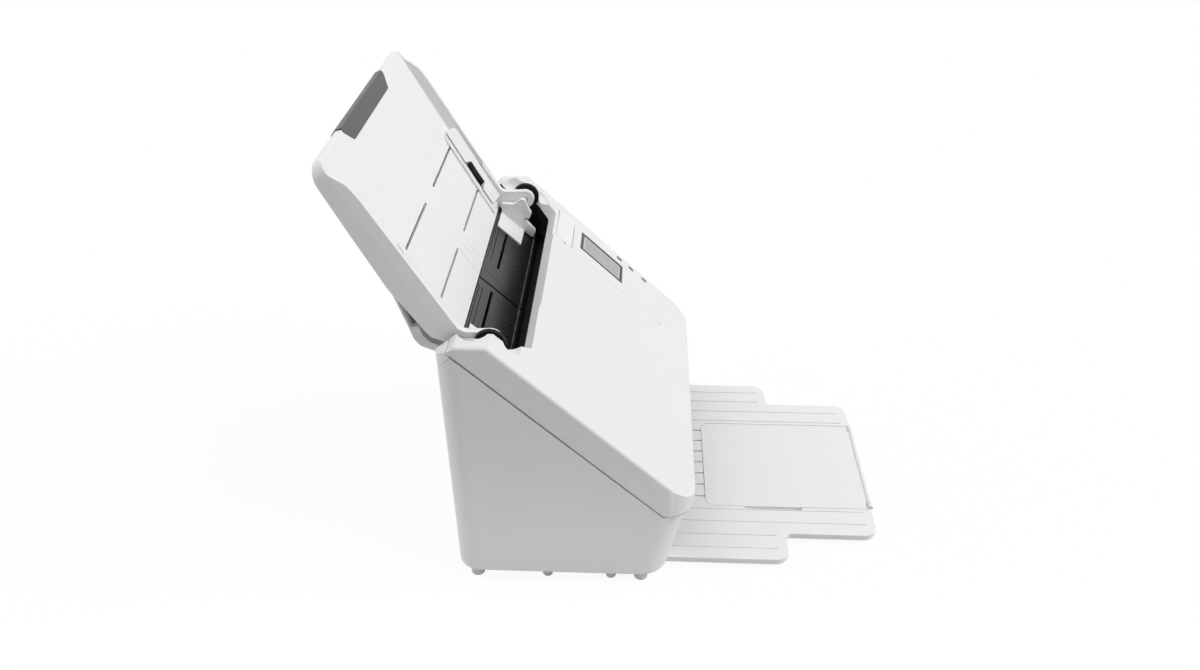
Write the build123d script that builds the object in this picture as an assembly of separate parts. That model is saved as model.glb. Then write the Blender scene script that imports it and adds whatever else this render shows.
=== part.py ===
from build123d import *

import os
from math import cos, pi, radians, sin, sqrt, tan

# Desktop sheet-fed document scanner, in millimetres.
# X runs across the paper, Y points to the back, Z up. Y = 0 is the casing's back face while the
# pieces are made; at the end all of them shift so that the origin is under the middle of the whole.

# Whole body
WIDTH = 300.0
HALF = WIDTH / 2
FOOT_HEIGHT = 10.6
CASE_WALL = 2.5
BACK_TOP = 221.5            # top of the back wall between the cheeks
CHEEK_TOP = 249.0           # top of the cover's cheeks
BACK_CORNER_R = 20.0
FRONT_CORNER_R = 23.0
BOTTOM_EDGE_R = 3.0
FRONT_FOOT_Y = -183.0       # front face at the casing's lower edge
FRONT_LEAN = 12.5           # degrees the front face leans out

# Slope of the front cover: s runs up the slope, h stands off it
SLOPE_ANGLE = 44.1
SLOPE_Y = -213.0
SLOPE_Z = 88.5
PARTING_H = -30.8           # joint between casing and cover, along the slope
PARTING_Z = 81.5            # and its level stretch at the front
PARTING_GAP = 0.5
PARTING_REAR_Y = -14.0
LIP_S = 197.0               # upper edge of the cover, where paper goes in
LIP_DEPTH = 10.5
CHEEK_INNER = HALF - 19.0   # the mouth between the cheeks, where the chute stands
LIP_HALF = CHEEK_INNER - 15.5
CHEEK_OPEN_S = 220.0
CHEEK_REAR_Y = -10.3
COVER_WALL = 2.6
BAND_START = HALF - 34.0    # a shallow fall towards both side edges
BAND_DROP = 3.8
COVER_EDGE_R = 3.0
PLATEAU_HEIGHT = 2.2
PLATEAU_S = 117.0
PLATEAU_LEFT = -53.0
PLATEAU_RIGHT = 71.0
PLATEAU_TAPER = 68.0

# Nose and hinge of the front cover
NOSE_R = 13.6
NOSE_Y = -191.0
NOSE_Z = 93.3
NOSE_GAP = 0.6
COVER_OPEN = 50.0           # degrees

# Paper path, parallel to the slope
PATH_H = -37.0
PATH_GAP = 2.0
PLATE_T = 2.5
FEED_PLATE_LOW = 190.0
FEED_PLATE_HIGH = 238.8
TRANSPORT_LOW = 30.0

# Side frames
FRAME_IN = CHEEK_INNER - 5.0
FEED_PLATE_HALF = FRAME_IN - 1.5
FRAME_T = 3.5
FRAME_OUT = FRAME_IN + FRAME_T
FRAME_HUMP_R = 12.5
FRAME_TIP_R = 6.2
SHAFT_R = 3.0
RUN_CLEAR = 0.05            # radial clearance of a shaft in its bore
SIDE_CLEAR = 0.5            # between parts that turn beside each other

# Chute: s runs up the chute from the upper guide slots, h stands in front of its paper face
CHUTE_LEAN = 28.2
CHUTE_Y = 22.7
CHUTE_Z = 299.7
CHUTE_HALF = CHEEK_INNER - 5.5
CHUTE_WALL = 3.5
CHUTE_LOW = -80.0
CHUTE_TOP = 95.0
CHUTE_SKIN = 2.5
CHUTE_CORNER_R = 13.0
CHUTE_BACK_T = 2.0
PIVOT_Y = -41.5
PIVOT_Z = 238.0
PIVOT_PIN_R = 3.0
CHUTE_CLOSED = 162.0        # degrees
ARM_IN = CHUTE_HALF - 6.5
ARM_OUT = CHUTE_HALF - 1.0
ARM_NOSE_R = 8.5
SLOT_W = 2.4
SLOT_S = (0.0, -47.9)

# Paper guides
GUIDE_FACE = CHUTE_HALF - 21.5   # inner face at rest, for a sheet 208 mm wide
GUIDE_TRAVEL = 78.0
GUIDE_FOOT_IN = GUIDE_FACE - 6.4
GUIDE_OUT = ARM_IN - 0.8
GUIDE_HEIGHT = 8.4
GUIDE_BASE_T = 1.5
GUIDE_CLEAR = 0.3
GUIDE_LOW = -76.0
GUIDE_HIGH = 12.0
PEG_W = 2.0
PEG_L = 5.0
PEG_X = GUIDE_FACE - 2.0
SLOT_INNER = PEG_X - GUIDE_TRAVEL - 8.3
SLOT_OUTER = PEG_X + 10.0
LOWER_FOOT_IN = GUIDE_FACE - 19.5
LOWER_FIN_IN = GUIDE_FACE + 9.0
LOWER_SLOT_S = 223.5
LOWER_SLOT_INNER = PEG_X - GUIDE_TRAVEL - 4.4
LOWER_SLOT_OUTER = PEG_X + 11.0
LOWER_SLOT_W = 3.0
PINION_R = 14.0
PINION_TEETH = 28
PINION_S = -24.0
TOOTH_H = 1.0
TOOTH_BACKLASH = 0.35
RACK_BODY = 4.5
RACK_FRONT_H = -3.0
RACK_T = 2.0

# Extension of the chute
GRIP_HALF = 64.0
GRIP_FRONT_HALF = 55.0
GRIP_LOW = 81.5
EXTENSION_HALF = 58.0
EXTENSION_T = 1.6
EXTENSION_H = -6.9
EXTENSION_LOW = -20.0
EXTENSION_TRAVEL = 80.0

# Stacking tray
TRAY_TOP = 11.0
TRAY_T = 6.0
TRAY_HALF = CHEEK_INNER - 4.0
TRAY_NECK = TRAY_HALF - 32.2
TRAY_REAR_Y = -166.0
TRAY_STEP_Y = -292.7
TRAY_FRONT_Y = -376.0
TRAY_TRAVEL = 157.0
TRAY_CORNER_R = 13.0
GROOVE_W = 1.3
GROOVE_D = 0.9
WIDE_GROOVES = (114.0, 98.0)
LONG_GROOVES = (81.2, 65.4)
FLAP_HALF = 60.5
FLAP_REAR_Y = -221.4
FLAP_T = 2.4
FLAP_CLEAR = 0.6
FLAP_OPEN = 178.0
FLAP_BARREL_R = 2.6
FLAP_PIN_R = 1.0
RIB_COUNT = 7
RIB_PITCH = 16.2
RAIL_T = 2.5
RAIL_FRONT_Y = -180.0
RAIL_REAR_Y = -6.0

# Drive
ROLLER_STAND = 0.7          # how far the tyres stand into the paper gap
FEED_S = 176.0
FEED_R = 11.0
TRANSPORT_S = 118.0
TRANSPORT_R = 9.8
EXIT_S = 50.0
EXIT_R = 8.0
PULLEY_R = 8.0
PULLEY_IN = FRAME_OUT + 2.5
PULLEY_W = 6.0
BELT_T = 1.2
BELT_GAP = 0.3
MOTOR_Y = -62.0
MOTOR_Z = 92.0
MOTOR_R = 21.0
MOTOR_L = 38.0

# Display and keys
DISPLAY_X = (HALF - 60.0, HALF - 28.0)
DISPLAY_S = (105.8, 162.3)
BEZEL_W = 3.0
KEY_X = HALF - 12.0
KEY_S = (108.9, 92.1, 73.0)
KEY_LENGTH = 7.0
KEY_WIDTH = 4.4
KEY_TRAVEL = 0.8
KEY_GAP = 0.35
RELEASE_X = (HALF - 73.0, HALF - 20.0)
RELEASE_S = (172.5, 192.5)
RELEASE_TRAVEL = 2.0

# Feet
BIG_FOOT_R = 6.0
SMALL_FOOT_R = 4.5
FOOT_X = HALF - 10.0
BIG_FOOT_Y = (-16.5, -160.6)
SMALL_FOOT_Y = (-78.5, -134.3)

SLOPE = Location(Plane((0, SLOPE_Y, SLOPE_Z), x_dir=(1, 0, 0),
                       z_dir=(0, -sin(radians(SLOPE_ANGLE)), cos(radians(SLOPE_ANGLE)))))
CHUTE = Location(Plane((0, CHUTE_Y, CHUTE_Z), x_dir=(1, 0, 0),
                       z_dir=(0, -cos(radians(CHUTE_LEAN)), sin(radians(CHUTE_LEAN)))))
SIDES = (-1, 1)
FAR = 400.0                 # reaches past everything


def slope_point(s, h=0.0):
    """(y, z) of the point s up the slope and h above it."""
    a = radians(SLOPE_ANGLE)
    return (SLOPE_Y + s * cos(a) - h * sin(a), SLOPE_Z + s * sin(a) + h * cos(a))


def slope_coords(y, z):
    """(s, h) of the point (y, z)."""
    a = radians(SLOPE_ANGLE)
    dy, dz = y - SLOPE_Y, z - SLOPE_Z
    return (dy * cos(a) + dz * sin(a), -dy * sin(a) + dz * cos(a))


def chute_coords(y, z):
    """(s, h) of the point (y, z) on the chute."""
    a = radians(CHUTE_LEAN)
    dy, dz = y - CHUTE_Y, z - CHUTE_Z
    return (dy * sin(a) + dz * cos(a), -dy * cos(a) + dz * sin(a))


def front_y(z):
    """Y of the leaning front face at height z."""
    return FRONT_FOOT_Y - (z - FOOT_HEIGHT) * tan(radians(FRONT_LEAN))


def block(x0, x1, y0, y1, z0, z1):
    """Box between two corners."""
    return Pos((x0 + x1) / 2, (y0 + y1) / 2, (z0 + z1) / 2) * Box(x1 - x0, y1 - y0, z1 - z0)


def rounded_wire(corners):
    """Closed outline of (u, v) or (u, v, radius) corners, in the XY plane."""
    points = [(c[0], c[1]) for c in corners]
    radii = [c[2] if len(c) > 2 else 0.0 for c in corners]
    if not any(radii):
        return make_face(Polyline(*points, close=True))
    return make_face(FilletPolyline(*points, radius=radii, close=True))


SIDE_VIEW = Location(Plane.YZ)


def slab(corners, x0, x1):
    """Outline in (y, z), or (s, h) before it is placed, carried from x0 to x1."""
    solid = extrude(rounded_wire(corners), amount=x1 - x0)
    return SIDE_VIEW * Pos(0, 0, x0) * solid


def sheet(corners, z0, z1):
    """Outline in (x, y), raised from z0 to z1."""
    return Pos(0, 0, z0) * extrude(rounded_wire(corners), amount=z1 - z0)


def rod(radius, x0, x1, y, z):
    """Cylinder along X."""
    return Pos((x0 + x1) / 2, y, z) * Rot(0, 90, 0) * Cylinder(radius, x1 - x0)


def tube(outer, inner, x0, x1, y, z):
    """Ring along X."""
    return rod(outer, x0, x1, y, z) - rod(inner, x0 - 1, x1 + 1, y, z)


def rounded_box(x0, x1, y0, y1, radius, z0, z1):
    """Plate with rounded corners in plan."""
    corners = [(x0, y0, radius), (x1, y0, radius), (x1, y1, radius), (x0, y1, radius)]
    return sheet(corners, z0, z1)


def both_sides(maker):
    """maker(side) for the left and the right, as one part."""
    return maker(-1) + maker(1)


def span(side, a, b):
    """Lower and higher X of the stretch a..b on one side."""
    return (a, b) if side > 0 else (-b, -a)


# Lower casing

def casing_form(inset):
    """Outer form of the casing, or the space inside it for an inset; it is open along the slope."""
    low = FOOT_HEIGHT + inset
    half = HALF - inset
    rear = -inset
    if inset:
        corners = [(rear, low), (rear, FAR), (front_y(FAR) + inset, FAR), (front_y(low) + inset, low)]
    else:
        seam_front = slope_seam_y()
        rear_z = seam_z(PARTING_REAR_Y)
        corners = [(rear, low), (rear, BACK_TOP + 1.0), (PARTING_REAR_Y, rear_z), (seam_front, PARTING_Z),
                   (front_y(PARTING_Z), PARTING_Z), (front_y(low), low)]
    form = slab(corners, -half, half)
    upright = form.edges().filter_by(Axis.Z).group_by(Axis.Y)[-1]
    form = fillet(upright, BACK_CORNER_R - inset)
    slanted = form.edges().filter_by(lambda e: is_front_corner(e, half))
    return fillet(slanted, FRONT_CORNER_R - inset)


def is_front_corner(edge, half):
    """True for the two leaning edges where the front meets the sides."""
    middle = edge.center()
    upright = abs(edge.tangent_at(0.5).Z) > 0.9
    return upright and abs(abs(middle.X) - half) < 0.01 and middle.Y < -HALF


def seam_z(y):
    """Height of the casing's sloping edge at y."""
    s_rate = tan(radians(SLOPE_ANGLE))
    y0, z0 = slope_point(0, PARTING_H)
    return z0 + (y - y0) * s_rate


def slope_seam_y():
    """Y where the sloping edge meets the level one."""
    y0, z0 = slope_point(0, PARTING_H)
    return y0 + (PARTING_Z - z0) / tan(radians(SLOPE_ANGLE))


EXIT_HALF = CHEEK_INNER - 12.0
EXIT_LOW = TRAY_TOP + 5.0
EXIT_HIGH = 70.0
ALCOVE_Y = -160.0


def lower_casing():
    form = casing_form(0.0)
    rim = form.edges().filter_by(lambda e: abs(e.center().Z - FOOT_HEIGHT) < 0.01)
    form = fillet(rim, BOTTOM_EDGE_R)
    form -= casing_form(CASE_WALL)
    form -= rod(NOSE_R + NOSE_GAP, -FAR, FAR, NOSE_Y, NOSE_Z)
    form -= block(-EXIT_HALF, EXIT_HALF, -FAR, ALCOVE_Y, EXIT_LOW, EXIT_HIGH)
    tray_way = TRAY_HALF + RAIL_T + 0.7
    form -= block(-tray_way, tray_way, -FAR, -CASE_WALL, 0, EXIT_LOW)
    form -= block(-CHEEK_INNER, CHEEK_INNER, PARTING_REAR_Y - 30, 1, BACK_TOP, FAR)
    form -= inlet_way() + socket_way()
    for x in (-1, 1):
        for y in SCREW_Y:
            form -= Pos(x * SCREW_X, y, 0) * Cylinder(SCREW_HEAD_R + 0.5, FLOOR_LOW, align=UPRIGHT)
            post = Pos(x * SCREW_X, y, FLOOR_TOP) * Cylinder(5.0, SCREW_POST, align=UPRIGHT)
            web_x0, web_x1 = span(x, SCREW_X, HALF - CASE_WALL / 2)
            web = block(web_x0, web_x1, y - 1.2, y + 1.2, FLOOR_TOP, FLOOR_TOP + SCREW_POST)
            bore = Pos(x * SCREW_X, y, 0) * Cylinder(SCREW_R, FLOOR_TOP + SCREW_POST - 3, align=UPRIGHT)
            form = form + post + web - bore
    return form


UPRIGHT = (Align.CENTER, Align.CENTER, Align.MIN)
PLATE_EDGE = CASE_WALL + 0.4
FLOOR_LOW = FOOT_HEIGHT + PLATE_EDGE    # underside of the bottom plate, on the casing's rim
FLOOR_TOP = FLOOR_LOW + 2.0
SCREW_X = HALF - 12.0
SCREW_Y = (-45.0, -110.0)
SCREW_POST = 16.0
SCREW_R = 1.6
SCREW_HEAD_R = 3.0


def bottom_plate():
    """Steel floor over the stacking tray; its flanges carry the tray's runners."""
    plate = block(-HALF, HALF, ALCOVE_Y - 4, 0, FLOOR_LOW, FLOOR_TOP) & casing_form(PLATE_EDGE)
    for x in SIDES:
        for y in SCREW_Y:
            plate -= Pos(x * SCREW_X, y, 0) * Cylinder(SCREW_R + 0.3, FAR, align=UPRIGHT)
    return plate


def casing_screws():
    """Screws from below, through the bottom plate into the casing's posts."""
    screws = []
    for x in SIDES:
        for y in SCREW_Y:
            head = Pos(x * SCREW_X, y, FLOOR_LOW - 1.8) * Cylinder(SCREW_HEAD_R, 1.8, align=UPRIGHT)
            head -= Pos(x * SCREW_X, y, FLOOR_LOW - 1.8) * Box(3.4, 0.8, 1.6)
            head -= Pos(x * SCREW_X, y, FLOOR_LOW - 1.8) * Box(0.8, 3.4, 1.6)
            shank = Pos(x * SCREW_X, y, FLOOR_LOW) * Cylinder(SCREW_R - 0.05, 14.0, align=UPRIGHT)
            screws.append(head + shank)
    return Compound(children=screws)


def foot(x, y, radius):
    """Round rubber foot under the casing's rim, with a stem into it."""
    pad = Pos(x, y, 0) * Cylinder(radius, FOOT_HEIGHT - 0.0, align=UPRIGHT)
    pad = chamfer(pad.edges().group_by(Axis.Z)[0], 1.0)
    return pad


def feet(places, radius):
    return Compound(children=[foot(x * FOOT_X, y, radius) for x in SIDES for y in places])


def tray_runners():
    """Two channel runners under the bottom plate, which hold the stacking tray by its edges."""
    def runner(side):
        web = block(*span(side, TRAY_HALF + 0.4, TRAY_HALF + 0.4 + RAIL_T), RAIL_FRONT_Y, RAIL_REAR_Y,
                    TRAY_TOP - TRAY_T - 1.8, FLOOR_LOW)
        ledge = block(*span(side, TRAY_HALF - 5, TRAY_HALF + 1), RAIL_FRONT_Y, RAIL_REAR_Y,
                      TRAY_TOP - TRAY_T - 1.8, TRAY_TOP - TRAY_T - 0.3)
        return web + ledge
    return both_sides(runner)


def rear_top_cover():
    """Strip along the back's upper edge, with a rounded cap at each end beside the cheeks."""
    gap = 0.3
    rear_z = seam_z(PARTING_REAR_Y)
    corners = [(0, BACK_TOP + 1.0 + gap), (0, CHEEK_TOP - 14.5, 3.0), (CHEEK_REAR_Y + 0.7, CHEEK_TOP - 6.6),
               (PARTING_REAR_Y + 0.1, rear_z + gap + 0.1)]
    caps = slab(corners, -HALF, HALF) & corner_prism(0.0)
    caps -= block(-CHEEK_INNER, CHEEK_INNER, -FAR, FAR, BACK_TOP + 3.0, FAR)
    strip = block(-CHEEK_INNER + gap, CHEEK_INNER - gap, -CASE_WALL - 6.0, 0, BACK_TOP + gap, BACK_TOP + 3.0)
    return caps + strip


def corner_prism(inset):
    """Plan outline of the cover with its rounded corners, as a tall prism."""
    half = HALF - inset
    front = NOSE_Y - NOSE_R + inset
    corners = [(-half, front, FRONT_CORNER_R + 1 - inset), (half, front, FRONT_CORNER_R + 1 - inset),
               (half, -inset, BACK_CORNER_R - inset), (-half, -inset, BACK_CORNER_R - inset)]
    return sheet(corners, 0, FAR)


# Side frames, plates and transport

def frame_outline():
    """Side frame: from the bottom plate up to the chute's pivot, and forward to the cover's hinge."""
    low_rear = slope_point(TRANSPORT_LOW, PATH_H - 26)
    return [(-20, FLOOR_TOP), (-20, 205, 4.0), (-24, 222, 6.0), (PIVOT_Y + 8, PIVOT_Z - 2, 3.0),
            (PIVOT_Y - 6, PIVOT_Z - 4, 3.0),
            (*slope_point(200, PATH_H + 12), 6.0), (*slope_point(188, PATH_H + 2.5), 5.0),
            (*slope_point(60, PATH_H + 2.5), 5.0), (NOSE_Y + 22, NOSE_Z - 2, 5.0), (NOSE_Y, NOSE_Z + FRAME_TIP_R),
            (NOSE_Y, NOSE_Z - FRAME_TIP_R), (NOSE_Y + 16.5, NOSE_Z - 15, 4.0),
            (ALCOVE_Y - 2, low_rear[1] - 10), (ALCOVE_Y - 2, FLOOR_TOP)]


def roller_centre(s, radius):
    """Centre (y, z) of a driven roller whose tyres stand a little into the paper gap."""
    return slope_point(s, PATH_H + ROLLER_STAND - radius)


DRIVEN = {"feed": (FEED_S, FEED_R), "transport": (TRANSPORT_S, TRANSPORT_R), "exit": (EXIT_S, EXIT_R)}


def side_frame(side):
    """Black side frame with its pivot hump and the bores for pins and shafts."""
    x0, x1 = span(side, FRAME_IN, FRAME_OUT)
    frame = slab(frame_outline(), x0, x1) + rod(FRAME_HUMP_R, x0, x1, PIVOT_Y, PIVOT_Z)
    frame += rod(FRAME_TIP_R, x0, x1, NOSE_Y, NOSE_Z)
    frame -= rod(PIVOT_PIN_R, x0 - 1, x1 + 1, PIVOT_Y, PIVOT_Z)
    frame -= rod(SHAFT_R, x0 - 1, x1 + 1, NOSE_Y, NOSE_Z)
    for s, radius in DRIVEN.values():
        frame -= rod(SHAFT_R + RUN_CLEAR, x0 - 1, x1 + 1, *roller_centre(s, radius))
    frame -= rod(TIE_R, x0 - 1, x1 + 1, TIE_Y, TIE_Z)
    if side > 0:
        frame -= rod(SHAFT_R + 1.0, x0 - 1, x1 + 1, MOTOR_Y, MOTOR_Z)
    return frame


TIE_R = 3.0
TIE_Y = -30.0
TIE_Z = 150.0


def tie_bar():
    """Steel bar that holds the side frames apart."""
    return rod(TIE_R, -FRAME_OUT, FRAME_OUT, TIE_Y, TIE_Z)


def paper_guide_plate():
    """Black feed plate under the chute's lower edge, with the slots of the lower guides."""
    form = block(-FEED_PLATE_HALF, FEED_PLATE_HALF, FEED_PLATE_LOW, FEED_PLATE_HIGH, PATH_H - PLATE_T, PATH_H)
    for side in SIDES:
        x0, x1 = span(side, LOWER_SLOT_INNER, LOWER_SLOT_OUTER)
        form -= block(x0, x1, LOWER_SLOT_S - LOWER_SLOT_W / 2, LOWER_SLOT_S + LOWER_SLOT_W / 2,
                      PATH_H - PLATE_T - 1, PATH_H + 1)
        g0, g1 = span(side, 24.0, 121.0)
        form -= block(g0, g1, 232.6, 233.8, PATH_H - 0.8, PATH_H + 1)
        form -= block(g0, g1, 236.6, 237.6, PATH_H - 0.8, PATH_H + 1)
    form -= block(-13.6, -11.0, FEED_PLATE_LOW - 1, FEED_PLATE_HIGH + 1, PATH_H - 1.4, PATH_H + 1)
    for side in SIDES:
        form += block(*span(side, FEED_PLATE_HALF, FRAME_IN), FEED_PLATE_LOW + 6, FEED_PLATE_HIGH - 12,
                      PATH_H - PLATE_T, PATH_H)
    return SLOPE * form


def roller_window(s, radius, tyres, depth=3.0):
    """Windows that let a roller's tyres through a plate in the paper path."""
    clear = 1.2
    reach = sqrt(radius ** 2 - (radius - ROLLER_STAND - depth) ** 2) + clear
    ways = [block(x0 - clear, x1 + clear, s - reach, s + reach, PATH_H - depth - 1, PATH_H + 2)
            for x0, x1 in tyres]
    return ways


FEED_TYRES = [(-34.0, -8.0), (8.0, 34.0)]
PAIR_TYRES = [(-98.0, -80.0), (-48.0, -30.0), (30.0, 48.0), (80.0, 98.0)]
SENSOR_S = (82.0, 98.0)
SENSOR_HALF = FEED_PLATE_HALF - 12.5
GLASS_T = 1.2
SENSOR_D = 14.0


def transport_plate():
    """Lower plate of the paper path, with windows for the tyres and a bed for the sensor."""
    form = block(-FEED_PLATE_HALF, FEED_PLATE_HALF, TRANSPORT_LOW, FEED_PLATE_LOW - 0.4, PATH_H - PLATE_T, PATH_H)
    for name, (s, radius) in DRIVEN.items():
        tyres = FEED_TYRES if name == "feed" else PAIR_TYRES
        for way in roller_window(s, radius, tyres):
            form -= way
    form -= block(-SENSOR_HALF, SENSOR_HALF, SENSOR_S[0], SENSOR_S[1], PATH_H - PLATE_T - 1, PATH_H + 1)
    for side in SIDES:
        form += block(*span(side, FEED_PLATE_HALF, FRAME_IN), 60, 150, PATH_H - PLATE_T, PATH_H)
    for edge in (SENSOR_S[0] - 1.6, SENSOR_S[1]):
        form += block(-SENSOR_HALF, SENSOR_HALF, edge, edge + 1.6, PATH_H - 9, PATH_H - PLATE_T)
    return SLOPE * form


def lower_image_sensor():
    """Scanning bar that looks up through its glass."""
    s0, s1 = SENSOR_S
    bar = block(-SENSOR_HALF + 0.3, SENSOR_HALF - 0.3, s0, s1, PATH_H - GLASS_T - SENSOR_D, PATH_H - GLASS_T)
    return SLOPE * bar


def lower_sensor_glass():
    s0, s1 = SENSOR_S
    return SLOPE * block(-SENSOR_HALF + 0.3, SENSOR_HALF - 0.3, s0, s1, PATH_H - GLASS_T, PATH_H - 0.1)


def exit_wall():
    """Wall behind the stack of sheets: it closes the paper exit towards the inside."""
    y0, z0 = slope_point(TRANSPORT_LOW + 4, PATH_H - PLATE_T - 0.3)
    x = FEED_PLATE_HALF
    wall = block(-x, x, ALCOVE_Y, ALCOVE_Y + 2, FLOOR_TOP, z0 - 1.5)
    lip = slab([(ALCOVE_Y, z0 - 3.5), (ALCOVE_Y + 2, z0 - 3.5), (y0 + 2.2, z0), (y0 + 0.2, z0)], -x, x)
    joined = wall + lip
    for side in SIDES:
        joined += block(*span(side, x, FRAME_IN), ALCOVE_Y, ALCOVE_Y + 2, FLOOR_TOP + 8, z0 - 20)
    for side in SIDES:
        joined += block(*span(side, EXIT_HALF + 1.0, x), front_y(EXIT_LOW) + CASE_WALL + 3, ALCOVE_Y,
                        FLOOR_TOP + 2, EXIT_HIGH)
    return joined


def driven_shaft(s, radius):
    y, z = roller_centre(s, radius)
    return rod(SHAFT_R, -FRAME_OUT - 1.5, PULLEY_IN + PULLEY_W + 1.0, y, z)


def driven_tyres(s, radius, tyres):
    """Rubber tyres with a knurled face, tight on their shaft."""
    y, z = roller_centre(s, radius)
    rings = [tube(radius, SHAFT_R, x0, x1, y, z) for x0, x1 in tyres]
    return Compound(children=rings)


def pulley(y, z):
    """Belt pulley with two flanges."""
    x0 = PULLEY_IN
    x1 = PULLEY_IN + PULLEY_W
    body = rod(PULLEY_R, x0, x1, y, z)
    for edge in (x0, x1 - 0.8):
        body += rod(PULLEY_R + 1.0, edge, edge + 0.8, y, z)
    return body - rod(SHAFT_R, x0 - 1, x1 + 1, y, z)


def belt():
    """Flat belt round the four pulleys; it stands a running gap off them."""
    centres = [roller_centre(*DRIVEN["feed"]), (MOTOR_Y, MOTOR_Z), roller_centre(*DRIVEN["exit"])]
    triangle = make_face(Polyline(*centres, close=True))
    ring = offset(triangle, PULLEY_R + BELT_GAP + BELT_T) - offset(triangle, PULLEY_R + BELT_GAP)
    return SIDE_VIEW * Pos(0, 0, PULLEY_IN + 1.2) * extrude(ring, amount=PULLEY_W - 2.4)


def drive_motor():
    """Motor can with its flange against the right frame."""
    can = rod(MOTOR_R, FRAME_IN - MOTOR_L, FRAME_IN - 2.0, MOTOR_Y, MOTOR_Z)
    flange = block(FRAME_IN - 2.0, FRAME_IN, MOTOR_Y - 25, MOTOR_Y + 25, MOTOR_Z - 25, MOTOR_Z + 25)
    motor = can + flange
    return motor - rod(SHAFT_R + RUN_CLEAR, FRAME_IN - 20, FRAME_IN + 1, MOTOR_Y, MOTOR_Z)


def motor_pulley():
    """Pulley on the motor's own shaft."""
    return pulley(MOTOR_Y, MOTOR_Z) + rod(SHAFT_R, FRAME_IN - 19, PULLEY_IN + PULLEY_W + 1.0, MOTOR_Y, MOTOR_Z)


BOARD_Y = -9.0
BOARD_T = 1.6
INLET_X = -92.0
SOCKET_X = -62.0
SOCKET_Z = 40.0


def main_board():
    """Controller board upright behind the back wall, on two feet, with a few tall components."""
    board = block(-115, 40, BOARD_Y - BOARD_T, BOARD_Y, FLOOR_TOP + 4, 110)
    for x in (-100, 20):
        board += block(x - 6, x + 6, BOARD_Y - BOARD_T - 8, BOARD_Y, FLOOR_TOP, FLOOR_TOP + 5)
    for x, z, w in ((-30, 60, 24), (8, 80, 16), (-80, 84, 18)):
        board += block(x - w / 2, x + w / 2, BOARD_Y - BOARD_T - 3, BOARD_Y - BOARD_T, z - w / 2, z + w / 2)
    for x in (-12, 2, 16):
        board += Pos(x, BOARD_Y - BOARD_T - 5.0, 40) * Rot(90, 0, 0) * Cylinder(4.0, 10.0)
    return board


def inlet_way():
    """Opening in the back wall for the power inlet."""
    return block(INLET_X - 7, INLET_X + 7, -CASE_WALL - 1, 1, SOCKET_Z - 6, SOCKET_Z + 6)


def socket_way():
    """Opening in the back wall for the data socket."""
    return block(SOCKET_X - 7, SOCKET_X + 7, -CASE_WALL - 1, 1, SOCKET_Z - 6.5, SOCKET_Z + 6.5)


def power_inlet():
    """Round low-voltage inlet: a square housing on the board, a barrel and its centre pin."""
    gap = 0.2
    body = block(INLET_X - 7 + gap, INLET_X + 7 - gap, BOARD_Y, -0.4, SOCKET_Z - 6 + gap, SOCKET_Z + 6 - gap)
    barrel = Pos(INLET_X, -4.4, SOCKET_Z) * Rot(90, 0, 0) * Cylinder(3.2, 8.2)
    pin = Pos(INLET_X, -4.9, SOCKET_Z) * Rot(90, 0, 0) * Cylinder(0.9, 7.8)
    return body - barrel + pin


def data_socket():
    """Square data socket: a shell open to the back, with its contact tongue."""
    gap = 0.2
    shell = block(SOCKET_X - 7 + gap, SOCKET_X + 7 - gap, BOARD_Y, -0.4,
                  SOCKET_Z - 6.5 + gap, SOCKET_Z + 6.5 - gap)
    shell -= block(SOCKET_X - 4.5, SOCKET_X + 4.5, BOARD_Y + 1, 1, SOCKET_Z - 4.2, SOCKET_Z + 4.2)
    tongue = block(SOCKET_X - 2.8, SOCKET_X + 2.8, BOARD_Y, -2.0, SOCKET_Z - 1.5, SOCKET_Z + 1.5)
    return shell + tongue


def chute_rest():
    """Curved bracket out of the back wall's top; the opened chute leans on its pad."""
    corners = [(0.0, 217.5), (0.0, 223.2), (8.0, 226.6, 6.0), (13.6, 233.0, 6.0), (16.2, 241.7), (22.2, 240.6),
               (32.9, 275.9), (34.5, 275.4), (23.8, 240.2, 2.0), (21.3, 230.3, 8.0), (17.0, 223.8, 8.0),
               (8.0, 219.8, 6.0)]
    return slab(corners, -REST_HALF, REST_HALF) - rest_pad()


REST_HALF = CHUTE_HALF - 13.5


def rest_pad():
    """Dark pad over the front of the rest's thin upper plate, between it and the chute's back."""
    corners = [(22.3, 240.4), (33.0, 275.8), (31.0, 276.4), (20.3, 241.0)]
    return slab(corners, -REST_HALF + 6, REST_HALF - 6)


# Front cover

def cover_outline(inset):
    """Side outline of the cover above the parting line; an inset makes the space inside it."""
    gap = PARTING_GAP
    seam_y = slope_seam_y()
    slope_cap = slope_y_at(CHEEK_TOP)
    if inset:
        rear = CHEEK_REAR_Y - 6.0
        deep = slope_point(20, PARTING_H - 30)
        return [(*slope_point(24, -inset), 3.0), (slope_cap - 1, CHEEK_TOP - inset - 1),
                (rear, CHEEK_TOP - inset - 1), (rear, 150), (deep[0], deep[1]),
                (NOSE_Y + 7.6, PARTING_Z - 30), (NOSE_Y + 7.6, PARTING_Z + 3)]
    low = PARTING_Z + gap
    nose_reach = sqrt(NOSE_R ** 2 - (NOSE_Z - low) ** 2)
    s_axis, h_axis = slope_coords(NOSE_Y, NOSE_Z)
    bend = s_axis + sqrt(NOSE_R ** 2 - h_axis ** 2)
    seam_top = seam_z(PARTING_REAR_Y) + gap * 1.4
    return [slope_point(bend), (slope_cap, CHEEK_TOP, 4.0), (CHEEK_REAR_Y - 7.0, CHEEK_TOP, 5.0),
            (CHEEK_REAR_Y, CHEEK_TOP - 6.5, 2.0), (PARTING_REAR_Y - 0.4, seam_top),
            (seam_y, low), (NOSE_Y + nose_reach, low), (NOSE_Y, NOSE_Z)]


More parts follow.
